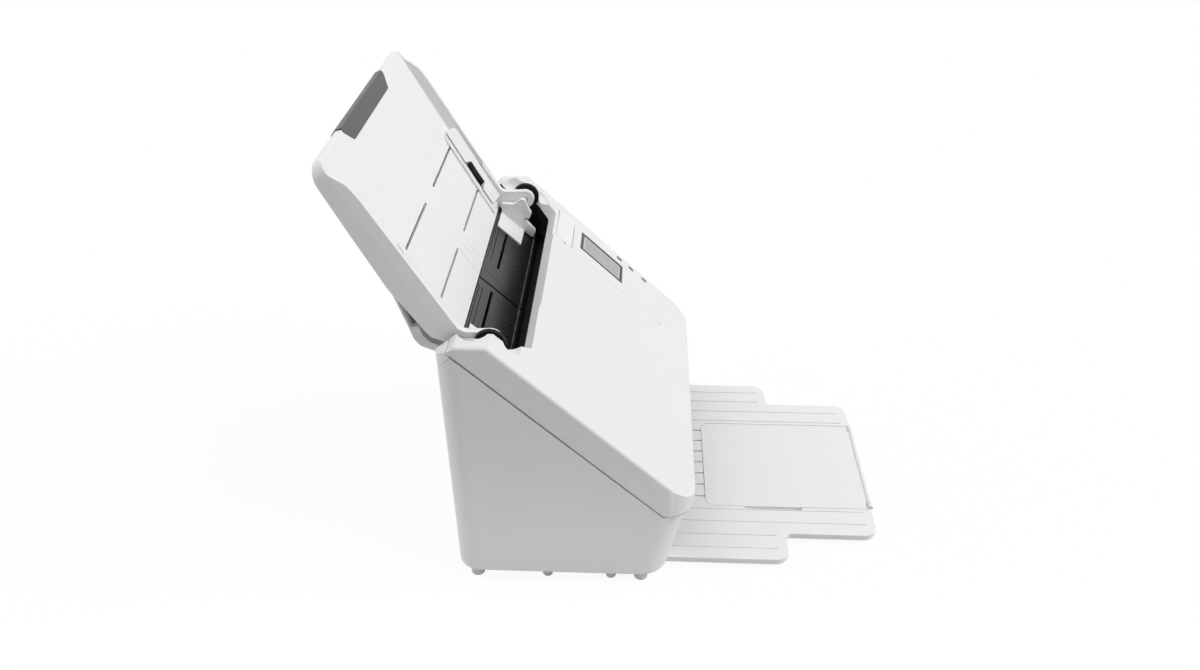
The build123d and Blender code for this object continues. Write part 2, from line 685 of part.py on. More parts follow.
def slope_y_at(z):
    """Y where the slope's plane reaches height z."""
    return SLOPE_Y + (z - SLOPE_Z) / tan(radians(SLOPE_ANGLE))


def cover_form():
    """Solid outer form of the cover with its nose, rounded corners and sloping side bands."""
    form = slab(cover_outline(0.0), -HALF, HALF) + rod(NOSE_R, -HALF, HALF, NOSE_Y, NOSE_Z)
    for side in SIDES:
        wedge = [(side * BAND_START, 0.0), (side * (HALF + 1), -BAND_DROP), (side * (HALF + 1), 30.0),
                 (side * BAND_START, 30.0)]
        fall = Plane.XZ.location * extrude(rounded_wire(wedge), amount=-FAR)
        form -= SLOPE * Pos(0, -40, 0) * fall
    form = fillet(form.edges().filter_by(is_long_side_edge), COVER_EDGE_R)
    return form & corner_prism(0.0)


def cover_cavity():
    """Space inside the cover's shell."""
    half = HALF - COVER_WALL
    space = slab(cover_outline(COVER_WALL), -half, half) + rod(NOSE_R - COVER_WALL, -half, half, NOSE_Y, NOSE_Z)
    space = space & corner_prism(COVER_WALL)
    for side in SIDES:
        wedge = [(side * (BAND_START - 2), -COVER_WALL), (side * (HALF + 1), -BAND_DROP - COVER_WALL),
                 (side * (HALF + 1), 30.0), (side * (BAND_START - 2), 30.0)]
        fall = Plane.XZ.location * extrude(rounded_wire(wedge), amount=-FAR)
        space -= SLOPE * Pos(0, -40, 0) * fall
    inner = CHEEK_INNER + COVER_WALL
    lip_wall = SLOPE * block(-inner, inner, LIP_S - COVER_WALL, FAR, -LIP_DEPTH, 60)
    cheek_wall = both_sides(lambda side: block(*span(side, CHEEK_INNER, inner), -90, 10, 150, FAR))
    return space - lip_wall - cheek_wall


def feed_mouth():
    """Space cut out of the cover between the cheeks, where the chute and the paper come in."""
    corners = [(-LIP_HALF, LIP_S, 5.0), (LIP_HALF, LIP_S, 5.0), (CHEEK_INNER, CHEEK_OPEN_S, 8.0),
               (CHEEK_INNER, FAR), (-CHEEK_INNER, FAR), (-CHEEK_INNER, CHEEK_OPEN_S, 8.0)]
    return SLOPE * sheet(corners, -FAR, 60)


def cheek_pockets(side):
    """Two hollows that fall from a cheek's top towards the frame, with a ridge between them."""
    cuts = []
    for y0, y1 in ((-41.0, -17.0), (-70.0, -52.0)):
        top = min(CHEEK_TOP, slope_height(0.5 * (y0 + y1))) + 1.0
        hollow = Pos(side * (CHEEK_INNER - 4.0), 0.5 * (y0 + y1), top + 3.0) * Sphere(0.5 * (y1 - y0) + 1.0)
        cuts.append(hollow)
    return cuts[0] + cuts[1]


def slope_height(y):
    """Height of the slope's plane at y."""
    return SLOPE_Z + (y - SLOPE_Y) * tan(radians(SLOPE_ANGLE))


def plateau():
    """Low raised field on the slope, from the lip down to its soft front edge."""
    corners = [(PLATEAU_LEFT, PLATEAU_S, 9.0), (PLATEAU_RIGHT, PLATEAU_S, 9.0),
               (PLATEAU_RIGHT + 3, LIP_S + 12), (PLATEAU_LEFT - 4, LIP_S + 12)]
    raised = extrude(rounded_wire(corners), amount=PLATEAU_HEIGHT, taper=PLATEAU_TAPER)
    skirt = sheet(corners, -1.0, 0.0)
    return SLOPE * (raised + skirt)


def key_outline(grow=0.0):
    """Rounded key outline about the origin, turned along the slope."""
    half_w = KEY_WIDTH / 2 + grow
    half_l = KEY_LENGTH / 2 + grow
    radius = half_w - 0.05
    return [(-half_w, -half_l, radius), (half_w, -half_l, radius), (half_w, half_l, radius),
            (-half_w, half_l, radius)]


def band_h(x):
    """Height of the side band's surface at x, against the slope's plane."""
    return -BAND_DROP * (abs(x) - BAND_START) / (HALF + 1 - BAND_START)


def release_place(grow=0.0):
    """Outline of the release key on the slope."""
    x0, x1 = RELEASE_X
    s0, s1 = RELEASE_S
    return [(x0 - grow, s0 - grow, 2.0), (x1 + grow, s0 - grow, 2.0), (x1 + grow, s1 + grow, 2.0),
            (x0 - grow, s1 + grow, 2.0)]


def cover_shell():
    """White cover: slope, nose, cheeks and lip, with its hinge discs and openings."""
    form = cover_form() + plateau()
    form -= cover_cavity()
    form -= feed_mouth()
    for side in SIDES:
        form -= cheek_pockets(side)
        x0, x1 = span(side, FRAME_IN - 0.8, FRAME_OUT + 0.7)
        form -= block(x0, x1, NOSE_Y - 6.5, NOSE_Y + 20, NOSE_Z - 16, NOSE_Z - 5)
        form -= rod(FRAME_HUMP_R + 0.8, x0, x1, PIVOT_Y, PIVOT_Z) & SLOPE * block(x0, x1, LIP_S, FAR, -FAR,
                                                                               -COVER_WALL)
        d0, d1 = span(side, FRAME_OUT + SIDE_CLEAR, FRAME_OUT + SIDE_CLEAR + 4.5)
        form += rod(NOSE_R - COVER_WALL + 0.1, d0, d1, NOSE_Y, NOSE_Z)
        form -= rod(SHAFT_R + RUN_CLEAR, d0 - 1, d1 + 1, NOSE_Y, NOSE_Z)
    x0, x1 = DISPLAY_X
    s0, s1 = DISPLAY_S
    form -= SLOPE * block(x0, x1, s0, s1, -8, 8)
    for s in KEY_S:
        form -= SLOPE * Pos(KEY_X, s, -10) * sheet(key_outline(KEY_GAP), 0, 20)
    form -= SLOPE * sheet(release_place(0.6), -8, 8)
    panel_line = SLOPE * block(74.8, 75.2, 53, RELEASE_S[0] - 0.6, -0.3, 8)
    dot = SLOPE * Pos(75.0, 53, -0.8) * Cylinder(1.1, 8, align=UPRIGHT)
    form -= panel_line + dot
    return form


def is_long_side_edge(edge):
    """True for the edges where the slope's bands and the cheeks' tops meet the cover's sides."""
    middle = edge.center()
    h = slope_coords(middle.Y, middle.Z)[1]
    along_band = abs(h + BAND_DROP) < 0.6 and edge.length > HALF
    return abs(abs(middle.X) - HALF) < 0.05 and (along_band or abs(middle.Z - CHEEK_TOP) < 0.3)


def cover_hinge_pins():
    """Steel pins, tight in the side frames, on which the cover turns."""
    return both_sides(lambda side: rod(SHAFT_R, *span(side, FRAME_IN - 0.5, FRAME_OUT + 6.5), NOSE_Y, NOSE_Z))


COVER_GUIDE_LOW = 30.0
COVER_GUIDE_HIGH = 188.0


def cover_inner_guide():
    """Black plate under the cover: the upper side of the paper path, with ribs up to the shell."""
    low = PATH_H + PATH_GAP
    form = block(-LIP_HALF, LIP_HALF, COVER_GUIDE_LOW, COVER_GUIDE_HIGH, low, low + PLATE_T)
    form += block(-LIP_HALF, LIP_HALF, COVER_GUIDE_HIGH - PLATE_T, COVER_GUIDE_HIGH, low, -LIP_DEPTH)
    for x in (-100.0, -62.0, 62.0):
        form += block(x - 1.2, x + 1.2, COVER_GUIDE_LOW + 6, COVER_GUIDE_HIGH, low, -COVER_WALL)
    for s, radius, tyres in ((FEED_S, SEPARATION_R, FEED_TYRES), (TRANSPORT_S, IDLER_R, PAIR_TYRES),
                             (EXIT_S, IDLER_R, PAIR_TYRES)):
        h = idler_h(radius)
        for x0, x1 in tyres:
            form -= block(x0 - 1.5, x1 + 1.5, s - radius - 1.5, s + radius + 1.5, low - 1, h + radius + 1.5)
    s0, s1 = SENSOR_S
    form -= block(-SENSOR_HALF, SENSOR_HALF, s0, s1, low - 1, low + SENSOR_D + GLASS_T)
    for s, radius, reach in ((FEED_S, SEPARATION_R, 40.0), (TRANSPORT_S, IDLER_R, 106.0), (EXIT_S, IDLER_R, 106.0)):
        h = idler_h(radius)
        for side in SIDES:
            x0, x1 = span(side, reach, reach + 3.0)
            form += block(x0, x1, s - 5, s + 5, low, h + 5)
        form -= Pos(0, s, h) * Rot(0, 90, 0) * Cylinder(IDLER_PIN_R + RUN_CLEAR, 2 * reach + 20)
    return SLOPE * form


SEPARATION_R = 9.0
IDLER_R = 5.5
IDLER_PIN_R = 2.0
IDLER_STANDOFF = 0.35       # gap between an idler and the driven tyre under it


def idler_h(radius):
    """Height of an idler's axis over the slope's plane."""
    return PATH_H + ROLLER_STAND + IDLER_STANDOFF + radius


def idler(s, radius, tyres, reach):
    """Free roller of the cover: rubber tyres on one axle."""
    h = idler_h(radius)
    turn = Pos(0, s, h) * Rot(0, 90, 0)
    axle = turn * Cylinder(IDLER_PIN_R, 2 * reach + 6)
    for x0, x1 in tyres:
        axle += Pos(0.5 * (x0 + x1), s, h) * Rot(0, 90, 0) * Cylinder(radius, x1 - x0)
    return SLOPE * axle


def upper_image_sensor():
    s0, s1 = SENSOR_S
    low = PATH_H + PATH_GAP + GLASS_T
    return SLOPE * block(-SENSOR_HALF + 0.3, SENSOR_HALF - 0.3, s0, s1, low, low + SENSOR_D - 0.5)


def upper_sensor_glass():
    s0, s1 = SENSOR_S
    low = PATH_H + PATH_GAP
    return SLOPE * block(-SENSOR_HALF + 0.3, SENSOR_HALF - 0.3, s0, s1, low + 0.1, low + GLASS_T)


def display_bezel():
    """Dark frame set into the slope, with a shelf under the glass."""
    x0, x1 = DISPLAY_X
    s0, s1 = DISPLAY_S
    gap = 0.15
    frame = block(x0 + gap, x1 - gap, s0 + gap, s1 - gap, -4.5, 0.35)
    frame -= block(x0 + BEZEL_W, x1 - BEZEL_W, s0 + BEZEL_W, s1 - BEZEL_W, -0.9, 2)
    frame -= block(x0 + BEZEL_W + 1, x1 - BEZEL_W - 1, s0 + BEZEL_W + 1, s1 - BEZEL_W - 1, -3.0, 2)
    frame = chamfer(frame.edges().group_by(Axis.Z)[-1].filter_by(lambda e: e.length > 30), 0.2)
    return SLOPE * frame


def display_glass():
    x0, x1 = DISPLAY_X
    s0, s1 = DISPLAY_S
    w = BEZEL_W + 0.1
    return SLOPE * block(x0 + w, x1 - w, s0 + w, s1 - w, -0.9, 0.0)


def panel_board():
    """Circuit board under the display and the keys, on posts from the shell."""
    board = block(84.5, 145, 66, 160, -9.4, -7.8)
    for x, s in ((87.0, 68.5), (87.0, 157.0)):
        board += Pos(x, s, -7.8) * Cylinder(2.0, 7.8 - COVER_WALL, align=UPRIGHT)
    board += block(DISPLAY_X[0] + 4, DISPLAY_X[1] - 4, DISPLAY_S[0] + 4, DISPLAY_S[1] - 4, -7.8, -4.5)
    return SLOPE * board


def key(s):
    """Small oval key with a flange under the shell."""
    top = band_h(KEY_X) + 0.5
    cap = Pos(KEY_X, s, 0) * sheet(key_outline(), top - 4.0, top)
    flange = Pos(KEY_X, s, 0) * sheet(key_outline(1.0), top - 5.0, top - 4.0)
    cap = chamfer(cap.edges().group_by(Axis.Z)[-1], 0.3)
    return SLOPE * (cap + flange)


def release_key():
    """Key at the cover's far rear corner that frees the cover."""
    cap = sheet(release_place(), -2.4, 0.15)
    cap = chamfer(cap.edges().group_by(Axis.Z)[-1], 0.4)
    x0, x1 = RELEASE_X
    s0, s1 = RELEASE_S
    stem = block(x0 + 6, x1 - 6, s0 + 7, s1 - 7, -6.5, -2.4)
    flange = block(x0 - 1.6, x1 - 3.5, s0 + 5, s1 - 5, -5.6, -4.4)
    return SLOPE * (cap + stem + flange)


# Chute

def chute_profile():
    """Side outline of the chute's walls, in (s, h): the front edge dips near the top."""
    return [(-66.0, 11.5, 4.0), (60.0, 9.0, 12.0), (72.0, 7.6, 10.0), (85.0, 0.6, 8.0),
            (CHUTE_TOP - 1.0, 0.2, 2.0), (CHUTE_TOP + 0.8, -6.5, 3.0), (84.0, -11.2, 30.0),
            (40.0, -13.6, 60.0), (-11.0, -15.8, 30.0), (-60.0, -11.5, 6.0), (-70.0, -3.0, 4.0)]


def chute_panel():
    """Paper face with its slots, the side walls and the arms that turn on the pivot pins."""
    outer = slab(chute_profile(), -CHUTE_HALF, CHUTE_HALF)
    top = CHUTE_TOP + 1.0
    outer &= sheet([(-CHUTE_HALF, -FAR), (CHUTE_HALF, -FAR), (CHUTE_HALF, top, CHUTE_CORNER_R),
                    (-CHUTE_HALF, top, CHUTE_CORNER_R)], -60, 60)
    inner_half = CHUTE_HALF - CHUTE_WALL
    front_space = slab([(CHUTE_LOW - 20, 0.0), (CHUTE_TOP + 20, 0.0), (CHUTE_TOP + 20, 60.0),
                        (CHUTE_LOW - 20, 60.0)], -inner_half, inner_half)
    back_space = slab([(-100.0, -CHUTE_SKIN), (CHUTE_TOP - 3.5, -CHUTE_SKIN), (CHUTE_TOP - 3.5, -60.0),
                       (-100.0, -60.0)], -inner_half, inner_half)
    form = outer - front_space - back_space
    form += block(-inner_half - 0.5, inner_half + 0.5, CHUTE_LOW, -64.0, -CHUTE_SKIN, 0.0)
    form -= grip_space()
    for s in SLOT_S:
        for side in SIDES:
            form -= block(*span(side, SLOT_INNER, SLOT_OUTER), s - SLOT_W / 2, s + SLOT_W / 2,
                          -CHUTE_SKIN - 1, 1)
    for x, s_top in ((10.0, -51.0), (0.0, -51.0), (-12.0, -49.5)):
        form -= block(x - 0.3, x + 0.3, -74.0, s_top, -0.4, 1)
    form -= block(-EXTENSION_HALF - 0.5, EXTENSION_HALF + 0.5, 80, CHUTE_TOP + 5,
                  EXTENSION_H - 0.4, EXTENSION_H + EXTENSION_T + 0.4)
    form = CHUTE * form
    for side in SIDES:
        form += chute_arm(side)
    return form + pinion_stud()


def grip_space():
    """Notch in the chute's top edge that the dark grip fills, in the chute's own axes."""
    corners = [(-GRIP_HALF - 0.3, CHUTE_TOP + 6), (GRIP_HALF + 0.3, CHUTE_TOP + 6),
               (GRIP_HALF + 0.3, CHUTE_TOP - 3.5), (GRIP_FRONT_HALF + 0.3, GRIP_LOW - 0.3, 3.0),
               (-GRIP_FRONT_HALF - 0.3, GRIP_LOW - 0.3, 3.0), (-GRIP_HALF - 0.3, CHUTE_TOP - 3.5)]
    front = sheet(corners, -2.0, 20.0)
    return front + block(-GRIP_HALF - 0.3, GRIP_HALF + 0.3, CHUTE_TOP - 3.6, CHUTE_TOP + 6, -20.0, 20.0)


def chute_arm(side):
    """Arm from a side wall of the chute to its pivot pin."""
    x0, x1 = span(side, ARM_IN, ARM_OUT)
    s_p, h_p = chute_coords(PIVOT_Y, PIVOT_Z)
    corners = [(-34.0, 9.8), (-60.0, -6.0, 4.0), (-78.0, -2.6, 3.0), (s_p - 6.2, h_p - 5.5),
               (s_p + 6.5, h_p + 5.5), (-67.5, 11.8, 8.0)]
    arm = CHUTE * slab(corners, x0, x1)
    arm += rod(ARM_NOSE_R, x0, x1, PIVOT_Y, PIVOT_Z)
    return arm - rod(PIVOT_PIN_R + RUN_CLEAR, x0 - 1, x1 + 1, PIVOT_Y, PIVOT_Z)


def chute_pivot_pins():
    """Pins, tight in the side frames, on which the chute turns."""
    return both_sides(lambda side: rod(PIVOT_PIN_R, *span(side, ARM_IN - 0.5, FRAME_OUT), PIVOT_Y, PIVOT_Z))


def chute_back_shell():
    """Back of the chute, between its side walls."""
    inner_half = CHUTE_HALF - CHUTE_WALL - 0.2
    t = CHUTE_BACK_T
    corners = [(CHUTE_TOP - 3.7, -8.2), (84.0, -11.0, 30.0), (40.0, -13.4, 60.0), (-11.0, -15.6, 30.0),
               (-60.0, -11.3, 6.0), (-68.0, -CHUTE_SKIN - 0.1), (-65.6, -CHUTE_SKIN - 0.1),
               (-58.5, -11.3 + t, 4.0), (-11.0, -15.6 + t, 28.0), (40.0, -13.4 + t, 58.0),
               (84.0, -11.0 + t, 28.0), (CHUTE_TOP - 3.7, -7.2)]
    shell = slab(corners, -inner_half, inner_half)
    for x in (-90.0, 90.0):
        for s in (-56.0, 60.0):
            shell += Pos(x, s, -12.0) * Cylinder(3.0, 12.0 - CHUTE_SKIN - 0.1, align=UPRIGHT)
    for side in SIDES:
        shell -= block(*span(side, ARM_IN - 0.4, inner_half + 1), -90.0, -33.0, -8.0, 0.0)
    return CHUTE * shell


def extension_tray():
    """Sliding plate of the extension, with two rails that guide it."""
    plate = block(-EXTENSION_HALF, EXTENSION_HALF, EXTENSION_LOW, CHUTE_TOP - 0.3, EXTENSION_H,
                  EXTENSION_H + EXTENSION_T)
    plate -= block(-EXTENSION_HALF + 12, EXTENSION_HALF - 12, EXTENSION_LOW + 10, 60, EXTENSION_H - 1,
                   EXTENSION_H + EXTENSION_T + 1)
    return CHUTE * plate


def extension_grip():
    """Dark grip that fills the notch in the chute's top edge, as one cap on the sliding plate."""
    corners = [(-GRIP_HALF, CHUTE_TOP + 0.6, 1.0), (GRIP_HALF, CHUTE_TOP + 0.6, 1.0),
               (GRIP_HALF, CHUTE_TOP - 3.2), (GRIP_FRONT_HALF, GRIP_LOW, 3.0),
               (-GRIP_FRONT_HALF, GRIP_LOW, 3.0), (-GRIP_HALF, CHUTE_TOP - 3.2)]
    front = sheet(corners, -1.7, 0.35)
    top = slab([(CHUTE_TOP - 3.2, -11.0), (CHUTE_TOP - 3.2, 0.35), (CHUTE_TOP + 0.6, 0.35, 1.0),
                (CHUTE_TOP + 1.2, -5.5, 3.0), (CHUTE_TOP - 1.5, -10.6, 1.5)], -GRIP_HALF, GRIP_HALF)
    cap = front + top
    return CHUTE * cap


def upper_guide(side):
    """Paper guide on the chute: foot, low body that leans outwards, its window, and pegs in the slots."""
    c = GUIDE_CLEAR
    top = c + GUIDE_BASE_T
    length = GUIDE_HIGH - GUIDE_LOW - 7.0
    inner, face, outer = side * GUIDE_FOOT_IN, side * GUIDE_FACE, side * GUIDE_OUT
    section = [(face + side * 2, top), (face + side * 2, 2.6), (face, 2.6), (face, 3.2),
               (outer - side * 2, GUIDE_HEIGHT, 1.5), (outer, GUIDE_HEIGHT, 1.0), (outer, top)]
    body = Pos(0, GUIDE_HIGH - length, 0) * Plane.XZ.location * extrude(rounded_wire(section), amount=-length)
    body -= sheet([(face - side, -52.0), (face + side * 6.3, -48.0), (face + side * 6.3, -24.0),
                   (face - side, -20.0)], top, 20)
    guide = block(*span(side, GUIDE_FOOT_IN, GUIDE_OUT), GUIDE_LOW, GUIDE_HIGH, c, top) + body
    guide &= sheet([(inner, GUIDE_LOW, 3.0), (outer, GUIDE_LOW, 3.0), (outer, GUIDE_HIGH, 9.0),
                    (inner, GUIDE_HIGH, 9.0)], 0, 20)
    for s in SLOT_S:
        guide += block(*span(side, PEG_X - PEG_L / 2, PEG_X + PEG_L / 2), s - PEG_W / 2, s + PEG_W / 2,
                       -CHUTE_SKIN - 0.2, c + 0.5)
    return CHUTE * guide


def tooth_gap(pitch):
    """Half widths of a rack's tooth at its root and its tip."""
    half = pitch / 4 - TOOTH_BACKLASH / 2
    return half + 0.35, half - 0.35


def guide_rack(side):
    """Rack behind the chute's face that turns the pinion as its guide slides."""
    pitch = 2 * pi * PINION_R / PINION_TEETH
    line = PINION_S - side * PINION_R
    way = -side
    slot = SLOT_S[0] if side < 0 else SLOT_S[1]
    inner = -10.0
    outer = PEG_X + 4.0
    root = line + way * TOOTH_H
    s_range = sorted((root, root + way * RACK_BODY))
    bar = block(*span(side, inner, outer), *s_range, RACK_FRONT_H - RACK_T, RACK_FRONT_H)
    wide, narrow = tooth_gap(pitch)
    teeth = []
    first = int(inner / pitch)
    last = int(outer / pitch) - 1
    for k in range(first, last):
        x = side * (k + 0.5) * pitch
        teeth.append(sheet([(x - wide, root), (x + wide, root), (x + narrow, line - way * TOOTH_H * 0.8),
                            (x - narrow, line - way * TOOTH_H * 0.8)], RACK_FRONT_H - RACK_T, RACK_FRONT_H))
    bar += teeth
    reach = sorted((root, slot + way * PEG_W / 2))
    bar += block(*span(side, PEG_X - PEG_L / 2, PEG_X + PEG_L / 2), *reach, RACK_FRONT_H - RACK_T, RACK_FRONT_H)
    link = block(*span(side, PEG_X - PEG_L / 2, PEG_X + PEG_L / 2), slot - PEG_W / 2, slot + PEG_W / 2,
                 RACK_FRONT_H, -CHUTE_SKIN - 0.2)
    return CHUTE * (bar + link)


def guide_pinion():
    """Pinion between the two racks, on a stud under the chute's face."""
    tip = PINION_R + TOOTH_H * 0.8
    root = PINION_R - TOOTH_H
    pitch = 2 * pi / PINION_TEETH
    wide = (pitch / 4) - TOOTH_BACKLASH / 2 / PINION_R + 0.35 / PINION_R
    narrow = wide - 0.7 / PINION_R
    corners = []
    for k in range(PINION_TEETH):
        mid = k * pitch
        for radius, turn in ((root, -wide), (tip, -narrow), (tip, narrow), (root, wide)):
            corners.append((radius * cos(mid + turn), radius * sin(mid + turn)))
    wheel = sheet(corners, RACK_FRONT_H - RACK_T, RACK_FRONT_H)
    wheel -= Pos(0, 0, -FAR / 2) * Cylinder(PINION_BORE_R, FAR)
    return CHUTE * Pos(0, PINION_S, 0) * wheel


PINION_BORE_R = 2.5


def pinion_stud():
    """Moulded stud behind the chute's face, with a snap head that holds the pinion."""
    stud = Pos(0, PINION_S, RACK_FRONT_H - RACK_T - 0.8) * Cylinder(
        PINION_BORE_R - RUN_CLEAR, -CHUTE_SKIN - RACK_FRONT_H + RACK_T + 0.8, align=UPRIGHT)
    head = Pos(0, PINION_S, RACK_FRONT_H - RACK_T - 0.7) * Cylinder(3.6, 0.5, align=UPRIGHT)
    return CHUTE * (stud + head)


def lower_guide(side):
    """Paper guide on the feed plate: foot, peg, and a fin that humps round the pivot's axis."""
    c = PATH_H + GUIDE_CLEAR
    f0, f1 = span(side, LOWER_FOOT_IN, GUIDE_OUT)
    foot_part = sheet([(f0, 207.0), (f1, 207.0), (f1, 236.0), (f0, 236.0)], c, c + GUIDE_BASE_T)
    foot_part += block(*span(side, PEG_X - PEG_L / 2, PEG_X + PEG_L / 2), LOWER_SLOT_S - PEG_W / 2,
                       LOWER_SLOT_S + PEG_W / 2, PATH_H - PLATE_T - 0.6, c + 0.5)
    foot_part += block(*span(side, PEG_X - PEG_L / 2, PEG_X + PEG_L / 2), LOWER_SLOT_S - 3, LOWER_SLOT_S + 3,
                       PATH_H - PLATE_T - 1.4, PATH_H - PLATE_T - 0.3)
    solid = SLOPE * foot_part
    w0, w1 = span(side, LOWER_FIN_IN, GUIDE_OUT)
    low0 = slope_point(234.0, PATH_H + 1.0)
    low1 = slope_point(208.0, PATH_H + 1.0)
    tip = slope_point(195.6, PATH_H + 1.8)
    corners = [low0, (-17.5, 236.0, 2.0), (-32.0, 235.4, 6.0), (-38.0, 241.0, 2.5), (-42.2, 239.6, 2.5),
               (-43.6, 234.0, 4.0), (-47.6, 225.0, 1.5), (-45.2, 219.6, 1.5), (-38.0, 222.6, 1.2),
               (-51.2, 206.0, 2.5), (*tip, 2.0), low1]
    solid += slab(corners, w0, w1)
    return solid


# Stacking tray

def stacking_tray():
    """Tray that slides out under the casing: wide part, narrow front, grooves and the flap's bed."""
    r = TRAY_CORNER_R
    corners = [(-TRAY_HALF, TRAY_REAR_Y, 4.0), (TRAY_HALF, TRAY_REAR_Y, 4.0), (TRAY_HALF, TRAY_STEP_Y, r),
               (TRAY_NECK, TRAY_STEP_Y, 5.0), (TRAY_NECK, TRAY_FRONT_Y, r), (-TRAY_NECK, TRAY_FRONT_Y, r),
               (-TRAY_NECK, TRAY_STEP_Y, 5.0), (-TRAY_HALF, TRAY_STEP_Y, r)]
    low = TRAY_TOP - TRAY_T
    tray = sheet(corners, low, TRAY_TOP)
    tray = fillet(tray.edges().group_by(Axis.Z)[-1], 0.8)
    inner = [(-TRAY_HALF + 3, TRAY_REAR_Y - 3), (TRAY_HALF - 3, TRAY_REAR_Y - 3),
             (TRAY_HALF - 3, TRAY_STEP_Y + 3, r - 3), (TRAY_NECK - 3, TRAY_STEP_Y + 3, 5.0),
             (TRAY_NECK - 3, TRAY_FRONT_Y + 8, r - 3), (-TRAY_NECK + 3, TRAY_FRONT_Y + 8, r - 3),
             (-TRAY_NECK + 3, TRAY_STEP_Y + 3, 5.0), (-TRAY_HALF + 3, TRAY_STEP_Y + 3, r - 3)]
    hollow = sheet(inner, low - 1, TRAY_TOP - FLAP_T - FLAP_CLEAR - 1.2)
    for x in (-90, -66, -30, 0, 30, 66, 90):
        hollow -= block(x - 0.8, x + 0.8, TRAY_FRONT_Y, TRAY_REAR_Y, 0, TRAY_TOP)
    hollow -= block(-TRAY_HALF, TRAY_HALF, TRAY_STEP_Y - 1, TRAY_STEP_Y + 8, 0, TRAY_TOP)
    tray -= hollow
    for x in WIDE_GROOVES:
        for side in SIDES:
            tray -= block(*span(side, x - GROOVE_W / 2, x + GROOVE_W / 2), TRAY_STEP_Y + 9, TRAY_REAR_Y + 1,
                          TRAY_TOP - GROOVE_D, TRAY_TOP + 1)
    for x in LONG_GROOVES:
        for side in SIDES:
            tray -= block(*span(side, x - GROOVE_W / 2, x + GROOVE_W / 2), TRAY_FRONT_Y + 9, TRAY_REAR_Y + 1,
                          TRAY_TOP - GROOVE_D, TRAY_TOP + 1)
    bed = FLAP_HALF + FLAP_CLEAR
    tray -= rounded_box(-bed, bed, TRAY_FRONT_Y - 30, FLAP_REAR_Y + FLAP_CLEAR, 9.0,
                        TRAY_TOP - FLAP_T - FLAP_CLEAR, TRAY_TOP + 1)
    grip = [(-bed - 3.6, -254.0 - 6, 3.0), (-bed - 3.6, -315.0 + 6, 3.0), (-bed + 3, -315.0), (-bed + 3, -254.0)]
    tray -= sheet(grip, TRAY_TOP - FLAP_T - FLAP_CLEAR, TRAY_TOP + 1)
    for k in range(RIB_COUNT):
        x = (k - (RIB_COUNT - 1) / 2) * RIB_PITCH
        tray -= block(x - 1.0, x + 1.0, FLAP_REAR_Y, FLAP_REAR_Y + 12, TRAY_TOP - 2.4, TRAY_TOP + 1)
    tray -= rod(FLAP_BARREL_R + 0.4, -FLAP_KNUCKLE - 0.4, FLAP_KNUCKLE + 0.4, FLAP_AXIS_Y, FLAP_AXIS_Z)
    tray -= block(-FLAP_KNUCKLE - 0.4, FLAP_KNUCKLE + 0.4, FLAP_AXIS_Y - 10, FLAP_AXIS_Y, 0, TRAY_TOP + 1)
    for side in SIDES:
        x0, x1 = span(side, FLAP_KNUCKLE + 0.6, FLAP_KNUCKLE + 6.0)
        tray += rod(FLAP_BARREL_R, x0, x1, FLAP_AXIS_Y, FLAP_AXIS_Z)
        tray += block(x0, x1, FLAP_AXIS_Y, FLAP_AXIS_Y + 6, low, TRAY_TOP - FLAP_T - FLAP_CLEAR)
        tray += block(x0, x1, FLAP_AXIS_Y, FLAP_AXIS_Y + FLAP_BARREL_R, low, FLAP_AXIS_Z)
    tray -= rod(FLAP_PIN_R, -FLAP_KNUCKLE - 9, FLAP_KNUCKLE + 9, FLAP_AXIS_Y, FLAP_AXIS_Z)
    return tray


FLAP_KNUCKLE = 52.0
FLAP_AXIS_Y = TRAY_FRONT_Y + 0.4
FLAP_AXIS_Z = TRAY_TOP - FLAP_T / 2 - 0.1


def tray_flap():
    """Flap that folds out of the tray's front, about a pin along its front edge."""
    z1 = TRAY_TOP - 0.1
    z0 = z1 - FLAP_T
    front = FLAP_AXIS_Y + FLAP_BARREL_R + 0.8
    flap = rounded_box(-FLAP_HALF, FLAP_HALF, front - 12, FLAP_REAR_Y, 8.0, z0, z1)
    flap -= block(-FAR, FAR, -FAR, front, 0, FAR)
    neck = block(-FLAP_KNUCKLE, FLAP_KNUCKLE, FLAP_AXIS_Y, front + 0.5, z0, z1)
    barrel = rod(FLAP_BARREL_R, -FLAP_KNUCKLE, FLAP_KNUCKLE, FLAP_AXIS_Y, FLAP_AXIS_Z)
    flap = flap + neck + barrel
    return flap - rod(FLAP_PIN_R + RUN_CLEAR, -FAR, FAR, FLAP_AXIS_Y, FLAP_AXIS_Z)


def flap_pin():
    """Steel pin, tight in the tray's two ears."""
    return rod(FLAP_PIN_R, -FLAP_KNUCKLE - 6, FLAP_KNUCKLE + 6, FLAP_AXIS_Y, FLAP_AXIS_Z)


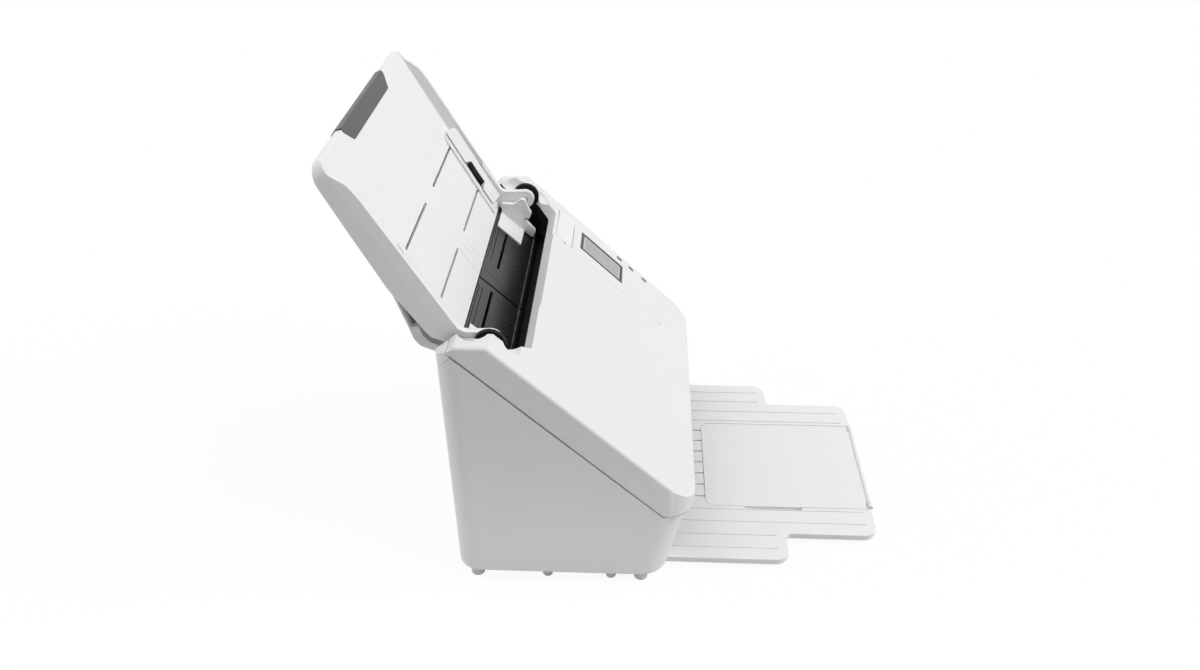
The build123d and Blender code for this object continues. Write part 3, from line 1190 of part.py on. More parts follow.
def build():
    """All nodes by name, each as one part."""
    made = {
        "lower_casing": lower_casing(),
        "bottom_plate": bottom_plate(),
        "casing_screws": casing_screws(),
        "large_feet": feet(BIG_FOOT_Y, BIG_FOOT_R),
        "small_feet": feet(SMALL_FOOT_Y, SMALL_FOOT_R),
        "tray_runners": tray_runners(),
        "rear_top_cover": rear_top_cover(),
        "side_frame_left": side_frame(-1),
        "side_frame_right": side_frame(1),
        "tie_bar": tie_bar(),
        "feed_plate": paper_guide_plate(),
        "transport_plate": transport_plate(),
        "lower_image_sensor": lower_image_sensor(),
        "lower_sensor_glass": lower_sensor_glass(),
        "exit_wall": exit_wall(),
        "drive_belt": belt(),
        "drive_motor": drive_motor(),
        "motor_pulley": motor_pulley(),
        "main_board": main_board(),
        "power_inlet": power_inlet(),
        "data_socket": data_socket(),
        "chute_rest": chute_rest(),
        "chute_rest_pad": rest_pad(),
        "pivot_pins": cover_hinge_pins() + chute_pivot_pins(),
        "cover_shell": cover_shell(),
        "cover_inner_guide": cover_inner_guide(),
        "upper_image_sensor": upper_image_sensor(),
        "upper_sensor_glass": upper_sensor_glass(),
        "display_bezel": display_bezel(),
        "display_glass": display_glass(),
        "panel_board": panel_board(),
        "release_key": release_key(),
        "separation_roller": idler(FEED_S, SEPARATION_R, FEED_TYRES, 40.0),
        "transport_idler": idler(TRANSPORT_S, IDLER_R, PAIR_TYRES, 106.0),
        "exit_idler": idler(EXIT_S, IDLER_R, PAIR_TYRES, 106.0),
        "chute_panel": chute_panel(),
        "chute_back_shell": chute_back_shell(),
        "extension_tray": extension_tray() + extension_grip(),
        "guide_pinion": guide_pinion(),
        "stacking_tray": stacking_tray(),
        "tray_flap": tray_flap(),
        "flap_pin": flap_pin(),
    }
    for number, s in enumerate(KEY_S, start=1):
        made[f"panel_key_{number}"] = key(s)
    for name, (s, radius) in DRIVEN.items():
        tyres = FEED_TYRES if name == "feed" else PAIR_TYRES
        made[f"{name}_shaft"] = driven_shaft(s, radius)
        made[f"{name}_tyres"] = driven_tyres(s, radius, tyres)
        made[f"{name}_pulley"] = pulley(*roller_centre(s, radius))
    for side, word in ((-1, "left"), (1, "right")):
        made[f"upper_guide_{word}"] = upper_guide(side)
        made[f"guide_rack_{word}"] = guide_rack(side)
        made[f"lower_guide_{word}"] = lower_guide(side)
    return made


def middle_y(made):
    """Y of the middle of the whole object, at the precision of a tenth."""
    boxes = [shape.bounding_box() for shape in made.values()]
    return round((min(b.min.Y for b in boxes) + max(b.max.Y for b in boxes)) / 2, 3)


nodes = build()
SHIFT_Y = -middle_y(nodes)
nodes = {name: Pos(0, SHIFT_Y, 0) * shape for name, shape in nodes.items()}

if __name__ == "__main__":
    os.makedirs("parts", exist_ok=True)
    for name, shape in nodes.items():
        export_step(shape, f"parts/{name}.step")
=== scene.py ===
"""Looks of a desktop document scanner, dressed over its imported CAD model.

The frame's axes: X runs across the paper to the side with the display, Y to the back, Z up, in metres.
"""
import logging
import math
from dataclasses import dataclass, replace
from enum import Enum
from typing import Iterable, Mapping, Protocol, Sequence

import bmesh
import bpy
import numpy as np
from mathutils import Matrix


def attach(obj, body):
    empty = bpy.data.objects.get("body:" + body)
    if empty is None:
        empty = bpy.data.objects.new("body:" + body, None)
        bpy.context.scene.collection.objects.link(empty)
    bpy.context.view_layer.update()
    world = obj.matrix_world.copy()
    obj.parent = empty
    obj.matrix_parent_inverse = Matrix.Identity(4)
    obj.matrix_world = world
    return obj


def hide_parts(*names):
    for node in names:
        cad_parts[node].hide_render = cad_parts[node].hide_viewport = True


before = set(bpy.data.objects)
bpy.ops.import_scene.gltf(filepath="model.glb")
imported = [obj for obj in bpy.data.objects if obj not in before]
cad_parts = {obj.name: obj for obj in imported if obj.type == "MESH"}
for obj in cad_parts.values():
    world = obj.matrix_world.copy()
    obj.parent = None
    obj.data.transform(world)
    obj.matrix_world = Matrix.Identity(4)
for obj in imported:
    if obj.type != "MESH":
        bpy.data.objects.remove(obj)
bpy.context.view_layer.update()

log = logging.getLogger("scanner")
logging.basicConfig(level=logging.INFO, format="%(name)s %(message)s")

MM = 0.001
SHIFT_Y = 151.05            # from the casing's back face to the frame's origin, in millimetres
SLOPE_ANGLE = math.radians(44.1)
SLOPE_FOOT = np.array([0.0, -213.0, 88.5])      # X, Y from the casing's back face, and Z
CHUTE_LEAN = math.radians(28.2)
CHUTE_FOOT = np.array([0.0, 22.7, 299.7])
SIDES = (("left", -1.0), ("right", 1.0))        # the display is on the right

JOINT_BEND_Y = -177.5       # where the joint between casing and cover turns level
JOINT_BAND_MM = 0.25        # how far the joint's painted shade reaches up the cover and down the casing
# dark colour of the painted shade in the joint; it also paints the lower walls of the cover's mouth black
JOINT_SHADE = (0.02, 0.02, 0.02)

CLOUD_MM = 55.0             # sizes of what shows on moulded faces: clouds of tone,
WAVE_MM = 30.0              # slow waves of the face,
PATCH_MM = 18.0             # patches that hands have polished,
GRAIN_MM = 0.5              # and the grain of the skin
PLASTIC_IOR = 1.5
DUST = (0.5, 0.5, 0.5)
PAPER_DUST = (0.42, 0.41, 0.39)

Number = float
Colour = Sequence[float]
Triple = tuple[float, float, float]
Grid = np.ndarray
Face = tuple[int, ...]
Surface = tuple[Grid, list[Face]]
Levels = Sequence[tuple[float, float]]


# Shader maths

class Sock:
    """A value socket whose arithmetic adds Math nodes."""

    def __init__(self, shader: "Shader", socket: bpy.types.NodeSocket) -> None:
        """Wraps one output socket of one shader."""
        self.shader = shader
        self.socket = socket

    def _with(self, operation: str, *terms: "Sock | Number") -> "Sock":
        """The Math node of that operation on the terms."""
        return self.shader.node("ShaderNodeMath", {"operation": operation}, dict(enumerate(terms)))

    def __add__(self, other: "Sock | Number") -> "Sock":
        """Sum."""
        return self._with("ADD", self, other)

    __radd__ = __add__

    def __mul__(self, other: "Sock | Number") -> "Sock":
        """Product."""
        return self._with("MULTIPLY", self, other)

    def __sub__(self, other: "Sock | Number") -> "Sock":
        """Difference."""
        return self._with("SUBTRACT", self, other)

    def __rsub__(self, other: "Sock | Number") -> "Sock":
        """Difference from a number."""
        return self._with("SUBTRACT", other, self)

    def __truediv__(self, other: "Sock | Number") -> "Sock":
        """Quotient."""
        return self._with("DIVIDE", self, other)

    def __pow__(self, other: "Sock | Number") -> "Sock":
        """Power."""
        return self._with("POWER", self, other)

    def __gt__(self, other: "Sock | Number") -> "Sock":
        """One where it is greater, else zero."""
        return self._with("GREATER_THAN", self, other)

    def __lt__(self, other: "Sock | Number") -> "Sock":
        """One where it is less, else zero."""
        return self._with("LESS_THAN", self, other)

    def size(self) -> "Sock":
        """Absolute value."""
        return self._with("ABSOLUTE", self)

    def larger(self, other: "Sock | Number") -> "Sock":
        """The larger of two values."""
        return self._with("MAXIMUM", self, other)

    def repeat(self, step: Number) -> "Sock":
        """Distance to the nearest multiple of step."""
        return self._with("PINGPONG", self, step / 2)

    def ease(self, low: Number, high: Number) -> "Sock":
        """Zero below low, one above high, smooth between."""
        limits = {"Value": self, "From Min": low, "From Max": high}
        return self.shader.node("ShaderNodeMapRange", {"interpolation_type": "SMOOTHSTEP"}, limits)

    def ease_mm(self, low: Number, high: Number) -> "Sock":
        """The same, with both limits in millimetres."""
        return self.ease(low * MM, high * MM)


class Shader:
    """The node tree of one material or of the world."""

    MIX_AMOUNT, MIX_LOW, MIX_HIGH, MIX_RESULT = 0, 6, 7, 2      # the Mix node's sockets for colours

    def __init__(self, owner: bpy.types.Material | bpy.types.World) -> None:
        """Empties the owner's tree."""
        owner.use_nodes = True
        self.owner = owner
        self.tree = owner.node_tree
        self.tree.nodes.clear()
        self._place: Sock | None = None

    @classmethod
    def named(cls, name: str) -> "Shader":
        """The shader of a new material of that name."""
        return cls(bpy.data.materials.new(name))

    def node(self, kind: str, settings: Mapping[str, object] | None = None,
             sockets: Mapping[str | int, object] | None = None, out: str | int = 0) -> Sock:
        """Adds a node.

        Args:
            kind: the node's type.
            settings: its properties.
            sockets: values or links of its inputs, by name or number.
            out: which output to wrap.

        Returns:
            The wrapped output.
        """
        made = self.tree.nodes.new(kind)
        for key, value in (settings or {}).items():
            setattr(made, key, value)
        for key, value in (sockets or {}).items():
            target = made.inputs[key]
            if isinstance(value, Sock):
                self.tree.links.new(value.socket, target)
            else:
                target.default_value = value
        return Sock(self, made.outputs[out])

    def place(self) -> Sock:
        """Object coordinates, in metres."""
        if self._place is None:
            self._place = self.node("ShaderNodeTexCoord", out="Object")
        return self._place

    def axes(self) -> tuple[Sock, Sock, Sock]:
        """X, Y and Z of the place, in metres."""
        split = self.node("ShaderNodeSeparateXYZ", {}, {0: self.place()})
        outputs = split.socket.node.outputs
        return tuple(Sock(self, outputs[i]) for i in range(3))

    def noise(self, scale_mm: Number, detail: Number, stretch: Sequence[float] = (1, 1, 1)) -> Sock:
        """Noise of about that feature size; stretch lengthens it along each axis."""
        factors = [1 / s for s in stretch]
        spot = self.node("ShaderNodeVectorMath", {"operation": "MULTIPLY"}, {0: self.place(), 1: factors})
        sockets = {"Vector": spot, "Scale": 1 / MM / scale_mm, "Detail": detail}
        return self.node("ShaderNodeTexNoise", {}, sockets)

    def clouds(self) -> Sock:
        """Wide soft clouds."""
        return self.noise(CLOUD_MM, 2.0)

    def waves(self) -> Sock:
        """Slow waves of a moulded face."""
        return self.noise(WAVE_MM, 1.0)

    def patches(self) -> Sock:
        """Patches of a hand's size, with finer ones in them."""
        return self.noise(PATCH_MM, 4.0)

    def grain(self, size_mm: Number = GRAIN_MM) -> Sock:
        """Fine grain of a moulded skin."""
        return self.noise(size_mm, 2.0)

    def blend(self, amount: Sock | Number, low: Colour | Sock, high: Colour | Sock) -> Sock:
        """Colour that goes from low to high with amount."""
        sockets = {self.MIX_AMOUNT: amount, self.MIX_LOW: _rgba(low), self.MIX_HIGH: _rgba(high)}
        return self.node("ShaderNodeMix", {"data_type": "RGBA"}, sockets, out=self.MIX_RESULT)

    def drift(self, colour: Colour, tone: Number, amount: Sock | None = None) -> Sock:
        """A colour that goes lighter and darker by that share, in clouds if no amount is given."""
        mixed = self.clouds() if amount is None else amount
        return self.blend(mixed, scaled(colour, 1 - tone), scaled(colour, 1 + tone))

    def bump(self, height: Sock, depth_mm: Number) -> Sock:
        """Normal of a height field of that depth."""
        return self.node("ShaderNodeBump", {}, {"Height": height, "Distance": depth_mm * MM})

    def surface(self, **sockets: object) -> bpy.types.Material:
        """Ends the material in a principled surface with these inputs."""
        named = {key.replace("_", " "): value for key, value in sockets.items()}
        face = self.node("ShaderNodeBsdfPrincipled", {}, named)
        self.finish(face)
        return self.owner

    def finish(self, face: Sock, output: str = "ShaderNodeOutputMaterial") -> None:
        """Links a closure to an output node of that type."""
        end = self.tree.nodes.new(output)
        self.tree.links.new(face.socket, end.inputs["Surface"])


class Shape(Shader):
    """The node tree of a modifier."""

    def __init__(self, name: str) -> None:
        """Makes the group with its input and output."""
        self.tree = bpy.data.node_groups.new(name, "GeometryNodeTree")
        for way in ("INPUT", "OUTPUT"):
            self.tree.interface.new_socket("Geometry", in_out=way, socket_type="NodeSocketGeometry")
        self._place = self.node("GeometryNodeInputPosition")
        self.start = self.node("NodeGroupInput")

    def end(self, result: Sock) -> None:
        """Links the result to the group's output."""
        self.tree.links.new(result.socket, self.tree.nodes.new("NodeGroupOutput").inputs[0])


def _rgba(colour: Colour | Sock) -> Colour | Sock:
    """A colour with its alpha, or the link as it is."""
    return colour if isinstance(colour, Sock) else (*colour[:3], 1.0)


def scaled(colour: Colour, factor: float) -> tuple[float, ...]:
    """A colour made lighter or darker."""
    return tuple(min(1.0, c * factor) for c in colour[:3])


# Finishes

class Finish(Protocol):
    """A named look that makes its own material."""

    @property
    def name(self) -> str:
        """The material's name."""

    def material(self) -> bpy.types.Material:
        """Makes the material."""


@dataclass(frozen=True)
class Moulded:
    """Injection-moulded plastic with the fine skin of a spark-eroded mould."""

    name: str
    colour: Colour
    roughness: float = 0.45
    grain_mm: float = GRAIN_MM
    grain_depth_mm: float = 0.012
    tone: float = 0.02
    seam_z_mm: float | None = None
    specular: float = 0.5

    def material(self) -> bpy.types.Material:
        """Colour drifts in wide clouds, roughness in handled patches, and a fine grain lifts the skin.

        The level rim at seam_z_mm, inside the joint between casing and cover, is painted dark as painted
        shade.
        """
        s = Shader.named(self.name)
        specks = s.noise(self.grain_mm * 3, 1.0)
        colour = s.drift(self.colour, self.tone, s.clouds() * 0.7 + specks * 0.3)
        if self.seam_z_mm is not None:
            # painted shade in the joint between casing and cover
            _, y, z = s.axes()
            colour = s.blend(_rim(y, z, self.seam_z_mm, -JOINT_BAND_MM), colour, JOINT_SHADE)
        handled = s.patches().ease(0.35, 0.75)
        grain = s.grain(self.grain_mm)
        normal = s.bump(grain + s.waves() * 2.0, self.grain_depth_mm)
        roughness = handled * 0.07 + grain * 0.06 + (self.roughness - 0.06)
        return s.surface(Base_Color=colour, Roughness=roughness, Normal=normal, IOR=PLASTIC_IOR,
                         Specular_IOR_Level=self.specular)


@dataclass(frozen=True)
class Polished:
    """Glossy moulded plastic with faint sink marks and dust."""

    name: str
    colour: Colour
    roughness: float = 0.16
    coat: float = 0.3

    def material(self) -> bpy.types.Material:
        """A clear coat over a colour that dust lightens in specks."""
        s = Shader.named(self.name)
        dust = s.noise(1.3, 5.0).ease(0.66, 0.78)
        colour = s.blend(dust * 0.25, self.colour, DUST)
        wiped = s.noise(9.0, 3.0, (4, 1, 1))
        normal = s.bump(s.noise(14.0, 1.0), 0.02)
        return s.surface(Base_Color=colour, Roughness=wiped * 0.08 + self.roughness, Normal=normal,
                         Coat_Weight=self.coat)


class Lay(Enum):
    """Which way a metal's fine lines run."""

    ACROSS = (30.0, 1.0, 1.0)
    ALONG = (1.0, 30.0, 1.0)


@dataclass(frozen=True)
class Metal:
    """Drawn, ground or plated metal with fine lines along its lay."""

    name: str
    colour: Colour
    roughness: float = 0.3
    lay: Lay = Lay.ACROSS
    lines_mm: float = 0.35

    def material(self) -> bpy.types.Material:
        """Lines shift the roughness and a shallow bump; stains darken it in clouds."""
        s = Shader.named(self.name)
        lines = s.noise(self.lines_mm, 4.0, self.lay.value)
        stain = s.noise(12.0, 4.0).ease(0.4, 0.8)
        colour = s.blend(stain * 0.6 + lines * 0.3, scaled(self.colour, 1.06), scaled(self.colour, 0.82))
        normal = s.bump(lines, 0.01)
        return s.surface(Base_Color=colour, Roughness=lines * 0.15 + self.roughness, Metallic=1.0,
                         Normal=normal)


@dataclass(frozen=True)
class Rubber:
    """Matt rubber with paper dust in its pores."""

    name: str
    colour: Colour
    roughness: float = 0.75
    dust: float = 0.25

    def material(self) -> bpy.types.Material:
        """Pores roughen the skin; dust greys the raised grain."""
        s = Shader.named(self.name)
        pores = s.noise(0.45, 4.0)
        dusty = (s.noise(6.0, 4.0) * pores * 2.0).ease(0.45, 0.85)
        colour = s.blend(dusty * self.dust, self.colour, PAPER_DUST)
        normal = s.bump(pores, 0.03)
        return s.surface(Base_Color=colour, Roughness=self.roughness + dusty * 0.1, Normal=normal,
                         Specular_IOR_Level=0.3)


@dataclass(frozen=True)
class ClearGlass:
    """Flat glass over a scanning bar."""

    name: str
    tint: Colour

    def material(self) -> bpy.types.Material:
        """Mostly clear, with a faint wiped haze."""
        s = Shader.named(self.name)
        haze = s.noise(8.0, 3.0, (6, 1, 1)).ease(0.4, 0.9)
        return s.surface(Base_Color=s.blend(haze, self.tint, scaled(self.tint, 1.08)),
                         Roughness=haze * 0.08 + 0.03, Alpha=haze * 0.1 + 0.32, Coat_Weight=0.4)


@dataclass(frozen=True)
class Circuit:
    """Solder-masked circuit board."""

    name: str
    mask: Colour = (0.02, 0.16, 0.06)
    tin: Colour = (0.55, 0.53, 0.48)
    pitch_mm: float = 2.54
    track: float = 0.16
    hole: float = 0.22

    def material(self) -> bpy.types.Material:
        """Tracks lighten the mask on a square pitch, and tinned holes break them; both are shares of it."""
        s = Shader.named(self.name)
        x, y, z = s.axes()
        pitch = self.pitch_mm * MM
        run = (s.noise(9.0, 0.0, (3, 1, 1)) * 8.0).repeat(1.0)
        width = pitch * self.track
        tracks = (x.repeat(pitch) < width).larger(z.repeat(pitch) < width) * (run > 0.22)
        holes = (x.repeat(pitch * 2) + z.repeat(pitch * 2)) < pitch * self.hole
        colour = s.blend(tracks * 0.5, self.mask, scaled(self.mask, 1.9))
        colour = s.blend(holes, colour, self.tin)
        normal = s.bump(tracks, 0.03)
        return s.surface(Base_Color=colour, Roughness=0.35 - holes * 0.1, Metallic=holes * 0.8, Normal=normal)


@dataclass(frozen=True)
class CoverSkin:
    """White cover with a faint plateau, dots of painted shadow on its panel line, and a rim of painted shade
    at the joint.

    The walls of its mouth are black below mouth_depth_mm.
    """

    name: str
    colour: Colour
    rim_z_mm: float = 82.0
    shadow_dots_mm: tuple[tuple[float, float], ...] = ((75.0, 181.2), (75.0, 53.0))
    dot_edge_mm: tuple[float, float] = (0.8, 1.2)
    dot_shade: Colour = (0.04, 0.04, 0.04)
    plateau_mm: tuple[float, float] = (-50.0, 121.0)
    plateau_skew: float = -0.1
    plateau_fade_mm: tuple[float, float] = (15.0, 62.0)
    mouth_wall_mm: float = 131.0
    mouth_depth_mm: float = 13.5

    def material(self) -> bpy.types.Material:
        """The plateau is a step of a soft bump that fades out across the cover."""
        s = Shader.named(self.name)
        x, y, z = s.axes()
        up = _along_slope(y, z)
        colour = s.drift(self.colour, SHELL_TONE)
        # painted shade in the joint between casing and cover
        colour = s.blend(_rim(y, z, self.rim_z_mm, JOINT_BAND_MM), colour, JOINT_SHADE)
        wall = (x.size() - self.mouth_wall_mm * MM).size() < 0.2 * MM
        colour = s.blend(wall * (_off_slope(y, z) < -self.mouth_depth_mm * MM), colour, JOINT_SHADE)
        # dots of painted shadow where the gaps along the panel line end
        for across, along in self.shadow_dots_mm:
            away = ((x - across * MM) ** 2 + (up - along * MM) ** 2) ** 0.5
            dot = 1.0 - away.ease_mm(*self.dot_edge_mm)
            colour = s.blend(dot, colour, self.dot_shade)
        left, foot = (place * MM for place in self.plateau_mm)
        edge = (x - left - (up - foot) * self.plateau_skew).ease_mm(-2.5, 2.5)
        front = (up - foot).ease_mm(-1.5, 1.5)
        fade = 1.0 - x.ease_mm(*self.plateau_fade_mm)
        return _shell(s, colour, s.bump(s.grain() * 0.04 + s.waves() * 0.08 + edge * front * fade, 0.3))


@dataclass(frozen=True)
class ChutePlastic:
    """White chute whose side walls have a moulding draft."""

    name: str
    colour: Colour
    draft: float = 0.5
    wall_mm: tuple[float, float] = (120.0, 138.5)

    def material(self) -> bpy.types.Material:
        """The walls' shading leans open: their height falls with the distance from the chute's face."""
        s = Shader.named(self.name)
        x, y, z = s.axes()
        behind = (y - (CHUTE_FOOT[1] + SHIFT_Y) * MM) * math.cos(CHUTE_LEAN)
        above = (z - CHUTE_FOOT[2] * MM) * math.sin(CHUTE_LEAN)
        off = (above - behind).larger(0.0)
        low, high = self.wall_mm
        inside = (x.size() > low * MM) * (x.size() < high * MM)
        fine = s.bump(s.grain() + s.waves() * 2.0, 0.012)
        sockets = {"Height": off * inside * -1.0, "Distance": self.draft, "Normal": fine}
        return _shell(s, s.drift(self.colour, SHELL_TONE), s.node("ShaderNodeBump", {}, sockets))


@dataclass(frozen=True)
class DeckPlate:
    """Black feed plate, lightened up its slope by a painted reflection, with a painted highlight along its
    lower edge.
    """

    name: str
    colour: Colour
    edge_mm: float = 192.9
    reflection_mm: tuple[float, float] = (196.0, 236.0)
    highlight_grey: Colour = (0.5, 0.5, 0.5)
    dip_mm: tuple[float, float] = (7.0, 226.0)
    dip_half_mm: tuple[float, float] = (4.5, 12.0)

    def material(self) -> bpy.types.Material:
        """A painted reflection grows up the plate; the edge line is a painted highlight in grey, and a soft
        oval dip lies by the groove.
        """
        s = Shader.named(self.name)
        x, y, z = s.axes()
        up = _along_slope(y, z)
        # painted reflection: lighter up the slope, darker towards the lower edge
        painted_reflection = up.ease_mm(*self.reflection_mm)
        scuffs = s.noise(7.0, 4.0, (1, 3, 3))
        # painted highlight: a grey line along the lower edge, broken up by scuffs
        painted_highlight = (1.0 - (up - self.edge_mm * MM).size().ease_mm(0.3, 0.8)) * scuffs.ease(0.1, 0.6)
        colour = s.blend(painted_reflection, scaled(self.colour, 0.45), scaled(self.colour, 1.5))
        colour = s.blend(painted_highlight * 0.55, colour, self.highlight_grey)
        beside = (x - self.dip_mm[0] * MM) / (self.dip_half_mm[0] * MM)
        along = (up - self.dip_mm[1] * MM) / (self.dip_half_mm[1] * MM)
        dip = (beside ** 2 + along ** 2).ease(0.55, 1.1)
        normal = s.bump(s.grain() * 0.02 + dip, 0.35)
        return s.surface(Base_Color=colour, Roughness=scuffs * 0.1 + 0.26, Normal=normal)


@dataclass(frozen=True)
class Screen:
    """Unlit display window: a clear lens over a grey panel with a pale margin and a black ring."""

    name: str
    centre_mm: tuple[float, float]
    half_mm: tuple[float, float]
    panel: tuple[Colour, Colour] = ((0.32, 0.325, 0.325), (0.36, 0.365, 0.365))
    gap: Colour = (0.2, 0.2, 0.2)
    margin: Colour = (0.50, 0.505, 0.505)
    ring: Colour = (0.02, 0.02, 0.021)
    pixel_mm: float = 0.6
    line_mm: float = 0.05

    def material(self) -> bpy.types.Material:
        """Margin and ring follow the window's edges; the panel shows a faint pixel grid."""
        s = Shader.named(self.name)
        x, y, z = s.axes()
        across = (x - self.centre_mm[0] * MM).size() / (self.half_mm[0] * MM)
        up = _along_slope(y, z) - self.centre_mm[1] * MM
        along = up.size() / (self.half_mm[1] * MM)
        outwards = ((across - 1.0) * self.half_mm[0]).larger((along - 1.0) * self.half_mm[1])
        pixel, line = self.pixel_mm * MM, self.line_mm * MM
        cells = (x.repeat(pixel) < line).larger(up.repeat(pixel) < line)
        waves = s.waves()
        colour = s.blend(waves, *self.panel)
        colour = s.blend(cells * 0.08, colour, self.gap)
        colour = s.blend(outwards.ease(-2.4, -2.0), colour, self.margin)
        colour = s.blend(outwards.ease(-0.6, -0.3), colour, self.ring)
        return s.surface(Base_Color=colour, Roughness=s.noise(7.0, 3.0) * 0.06 + 0.12, Coat_Weight=0.5,
                         Normal=s.bump(waves, 0.01))


def _shell(s: Shader, colour: Sock, normal: Sock) -> bpy.types.Material:
    """Ends the material of a white outer shell, with its roughness in patches."""
    return s.surface(Base_Color=colour, Roughness=s.patches() * 0.1 + 0.44, Normal=normal, IOR=PLASTIC_IOR)


def _rim(y: Sock, z: Sock, level_mm: float, depth_mm: float) -> Sock:
    """One on the level rim at the front joint and on a narrow band beside it, else zero: where the joint's
    shade is painted.
    """
    spare_mm = 0.05
    middle, half = level_mm + depth_mm / 2, abs(depth_mm) / 2 + spare_mm
    return ((z - middle * MM).size() < half * MM) * (y < (JOINT_BEND_Y + SHIFT_Y) * MM)


def _along_slope(y: Sock, z: Sock) -> Sock:
    """Distance up the slope in metres, from the frame's Y and Z."""
    ahead = y - (SLOPE_FOOT[1] + SHIFT_Y) * MM
    above = z - SLOPE_FOOT[2] * MM
    return ahead * math.cos(SLOPE_ANGLE) + above * math.sin(SLOPE_ANGLE)


def _off_slope(y: Sock, z: Sock) -> Sock:
    """Distance out of the slope in metres, from the frame's Y and Z."""
    ahead = y - (SLOPE_FOOT[1] + SHIFT_Y) * MM
    above = z - SLOPE_FOOT[2] * MM
    return above * math.cos(SLOPE_ANGLE) - ahead * math.sin(SLOPE_ANGLE)


WHITE = (0.84, 0.84, 0.84)
SHELL_TONE = 0.015          # share by which the outer shells' white drifts

# cover, chute and tray are darker and lighter copies of one white, set to how the light falls on each:
# painted light and shade
COVER = CoverSkin("white_cover_plastic", scaled(WHITE, 0.96))
CHUTE = ChutePlastic("white_chute_plastic", scaled(WHITE, 1.03))
SHELL = Moulded("white_textured_plastic", WHITE, 0.5)
TRAY = Moulded("white_tray_plastic", scaled(WHITE, 1.04), 0.5)
CASING = Moulded("white_casing_plastic", scaled(WHITE, 0.985), 0.52, 0.6, 0.016, seam_z_mm=81.5)
SMOOTH_WHITE = Moulded("white_acetal", WHITE, 0.33, 0.9, 0.005, 0.012)
INNER_WHITE = Moulded("inner_white_plastic", scaled(WHITE, 0.86), 0.45)
DARK_GREY = Moulded("dark_grey_plastic", (0.070, 0.071, 0.073), 0.42, 0.4, 0.01, 0.04)
BLACK_ACETAL = Moulded("black_acetal", (0.02, 0.02, 0.021), 0.4, 0.5, 0.005)
SATIN_BLACK = Moulded("satin_black_plastic", (0.006, 0.006, 0.0065), 0.5, 0.5, 0.008, 0.06, specular=0.15)
FRAME_BLACK = replace(SATIN_BLACK, name="frame_black_plastic")
DECK_BLACK = DeckPlate("feed_plate_black", (0.024, 0.024, 0.026))
RIB_BLACK = Polished("rib_black", (0.03, 0.03, 0.032), 0.2, 0.2)
# the dark grey of the chute rest's pad stands in for the shade on the rest: painted shade
PAD_SHADE = Moulded("rest_pad_painted_shade", (0.2, 0.205, 0.21), 0.5)
BEZEL = Polished("bezel_black", (0.02, 0.02, 0.021), 0.3, 0.1)
SENSOR = Polished("sensor_housing_black", (0.022, 0.022, 0.023), 0.3, 0.1)
KEY_GREY = Polished("key_slate_grey", (0.09, 0.10, 0.11), 0.3, 0.1)
KEY_BLUE = Polished("key_blue_grey", (0.08, 0.12, 0.17), 0.3, 0.1)
STEEL = Metal("ground_steel", (0.60, 0.60, 0.59), 0.22)
SHEET_STEEL = Metal("zinc_sheet_steel", (0.55, 0.56, 0.57), 0.38, Lay.ALONG, 0.8)
MOTOR_STEEL = Metal("motor_can_steel", (0.48, 0.48, 0.48), 0.34, Lay.ACROSS, 0.5)
FOOT_RUBBER = Rubber("foot_rubber", (0.72, 0.72, 0.72), 0.7, 0.2)
TYRE_RUBBER = Rubber("tyre_rubber", (0.055, 0.057, 0.06), 0.78, 0.35)
BELT_RUBBER = Rubber("belt_rubber", (0.02, 0.02, 0.021), 0.7, 0.15)
GLASS = ClearGlass("sensor_glass", (0.70, 0.78, 0.76))
BOARD = Circuit("circuit_board")
DISPLAY = Screen("display_window", (106.0, 134.05), (12.9, 25.1))

DRESS: dict[Finish, tuple[str, ...]] = {
    COVER: ("cover_shell",),
    SHELL: ("release_key", "rear_top_cover", "chute_back_shell", "chute_rest"),
    CHUTE: ("chute_panel",),
    TRAY: ("stacking_tray", "tray_flap"),
    CASING: ("lower_casing",),
    SMOOTH_WHITE: ("upper_guide_left", "upper_guide_right", "lower_guide_left", "lower_guide_right"),
    INNER_WHITE: ("tray_runners", "feed_pulley", "transport_pulley", "exit_pulley", "motor_pulley"),
    BLACK_ACETAL: ("guide_rack_left", "guide_rack_right", "guide_pinion"),
    DARK_GREY: ("extension_tray",),
    FRAME_BLACK: ("side_frame_left", "side_frame_right"),
    SATIN_BLACK: ("transport_plate", "cover_inner_guide", "exit_wall", "power_inlet"),
    DECK_BLACK: ("feed_plate",),
    PAD_SHADE: ("chute_rest_pad",),
    BEZEL: ("display_bezel",),
    SENSOR: ("lower_image_sensor", "upper_image_sensor"),
    KEY_GREY: ("panel_key_1", "panel_key_2"),
    KEY_BLUE: ("panel_key_3",),
    STEEL: ("tie_bar", "pivot_pins", "flap_pin", "feed_shaft", "transport_shaft", "exit_shaft",
            "casing_screws"),
    SHEET_STEEL: ("bottom_plate", "data_socket"),
    MOTOR_STEEL: ("drive_motor",),
    FOOT_RUBBER: ("large_feet", "small_feet"),
    TYRE_RUBBER: ("feed_tyres", "transport_tyres", "exit_tyres", "separation_roller", "transport_idler",
                  "exit_idler"),
    BELT_RUBBER: ("drive_belt",),
    GLASS: ("lower_sensor_glass", "upper_sensor_glass"),
    BOARD: ("main_board", "panel_board"),
    DISPLAY: ("display_glass",),
}


class Wardrobe:
    """Makes each finish once and puts it on nodes and pieces."""

    def __init__(self) -> None:
        """Starts with no finish made."""
        self._made: dict[Finish, bpy.types.Material] = {}

    def material(self, finish: Finish) -> bpy.types.Material:
        """The material of a finish, made on first use."""
        if finish not in self._made:
            self._made[finish] = finish.material()
        return self._made[finish]

    def dress(self, obj: bpy.types.Object, finish: Finish) -> None:
        """Puts a finish on every material slot of an object."""
        material = self.material(finish)
        if not obj.material_slots:
            obj.data.materials.append(material)
        for place in obj.material_slots:
            place.material = material


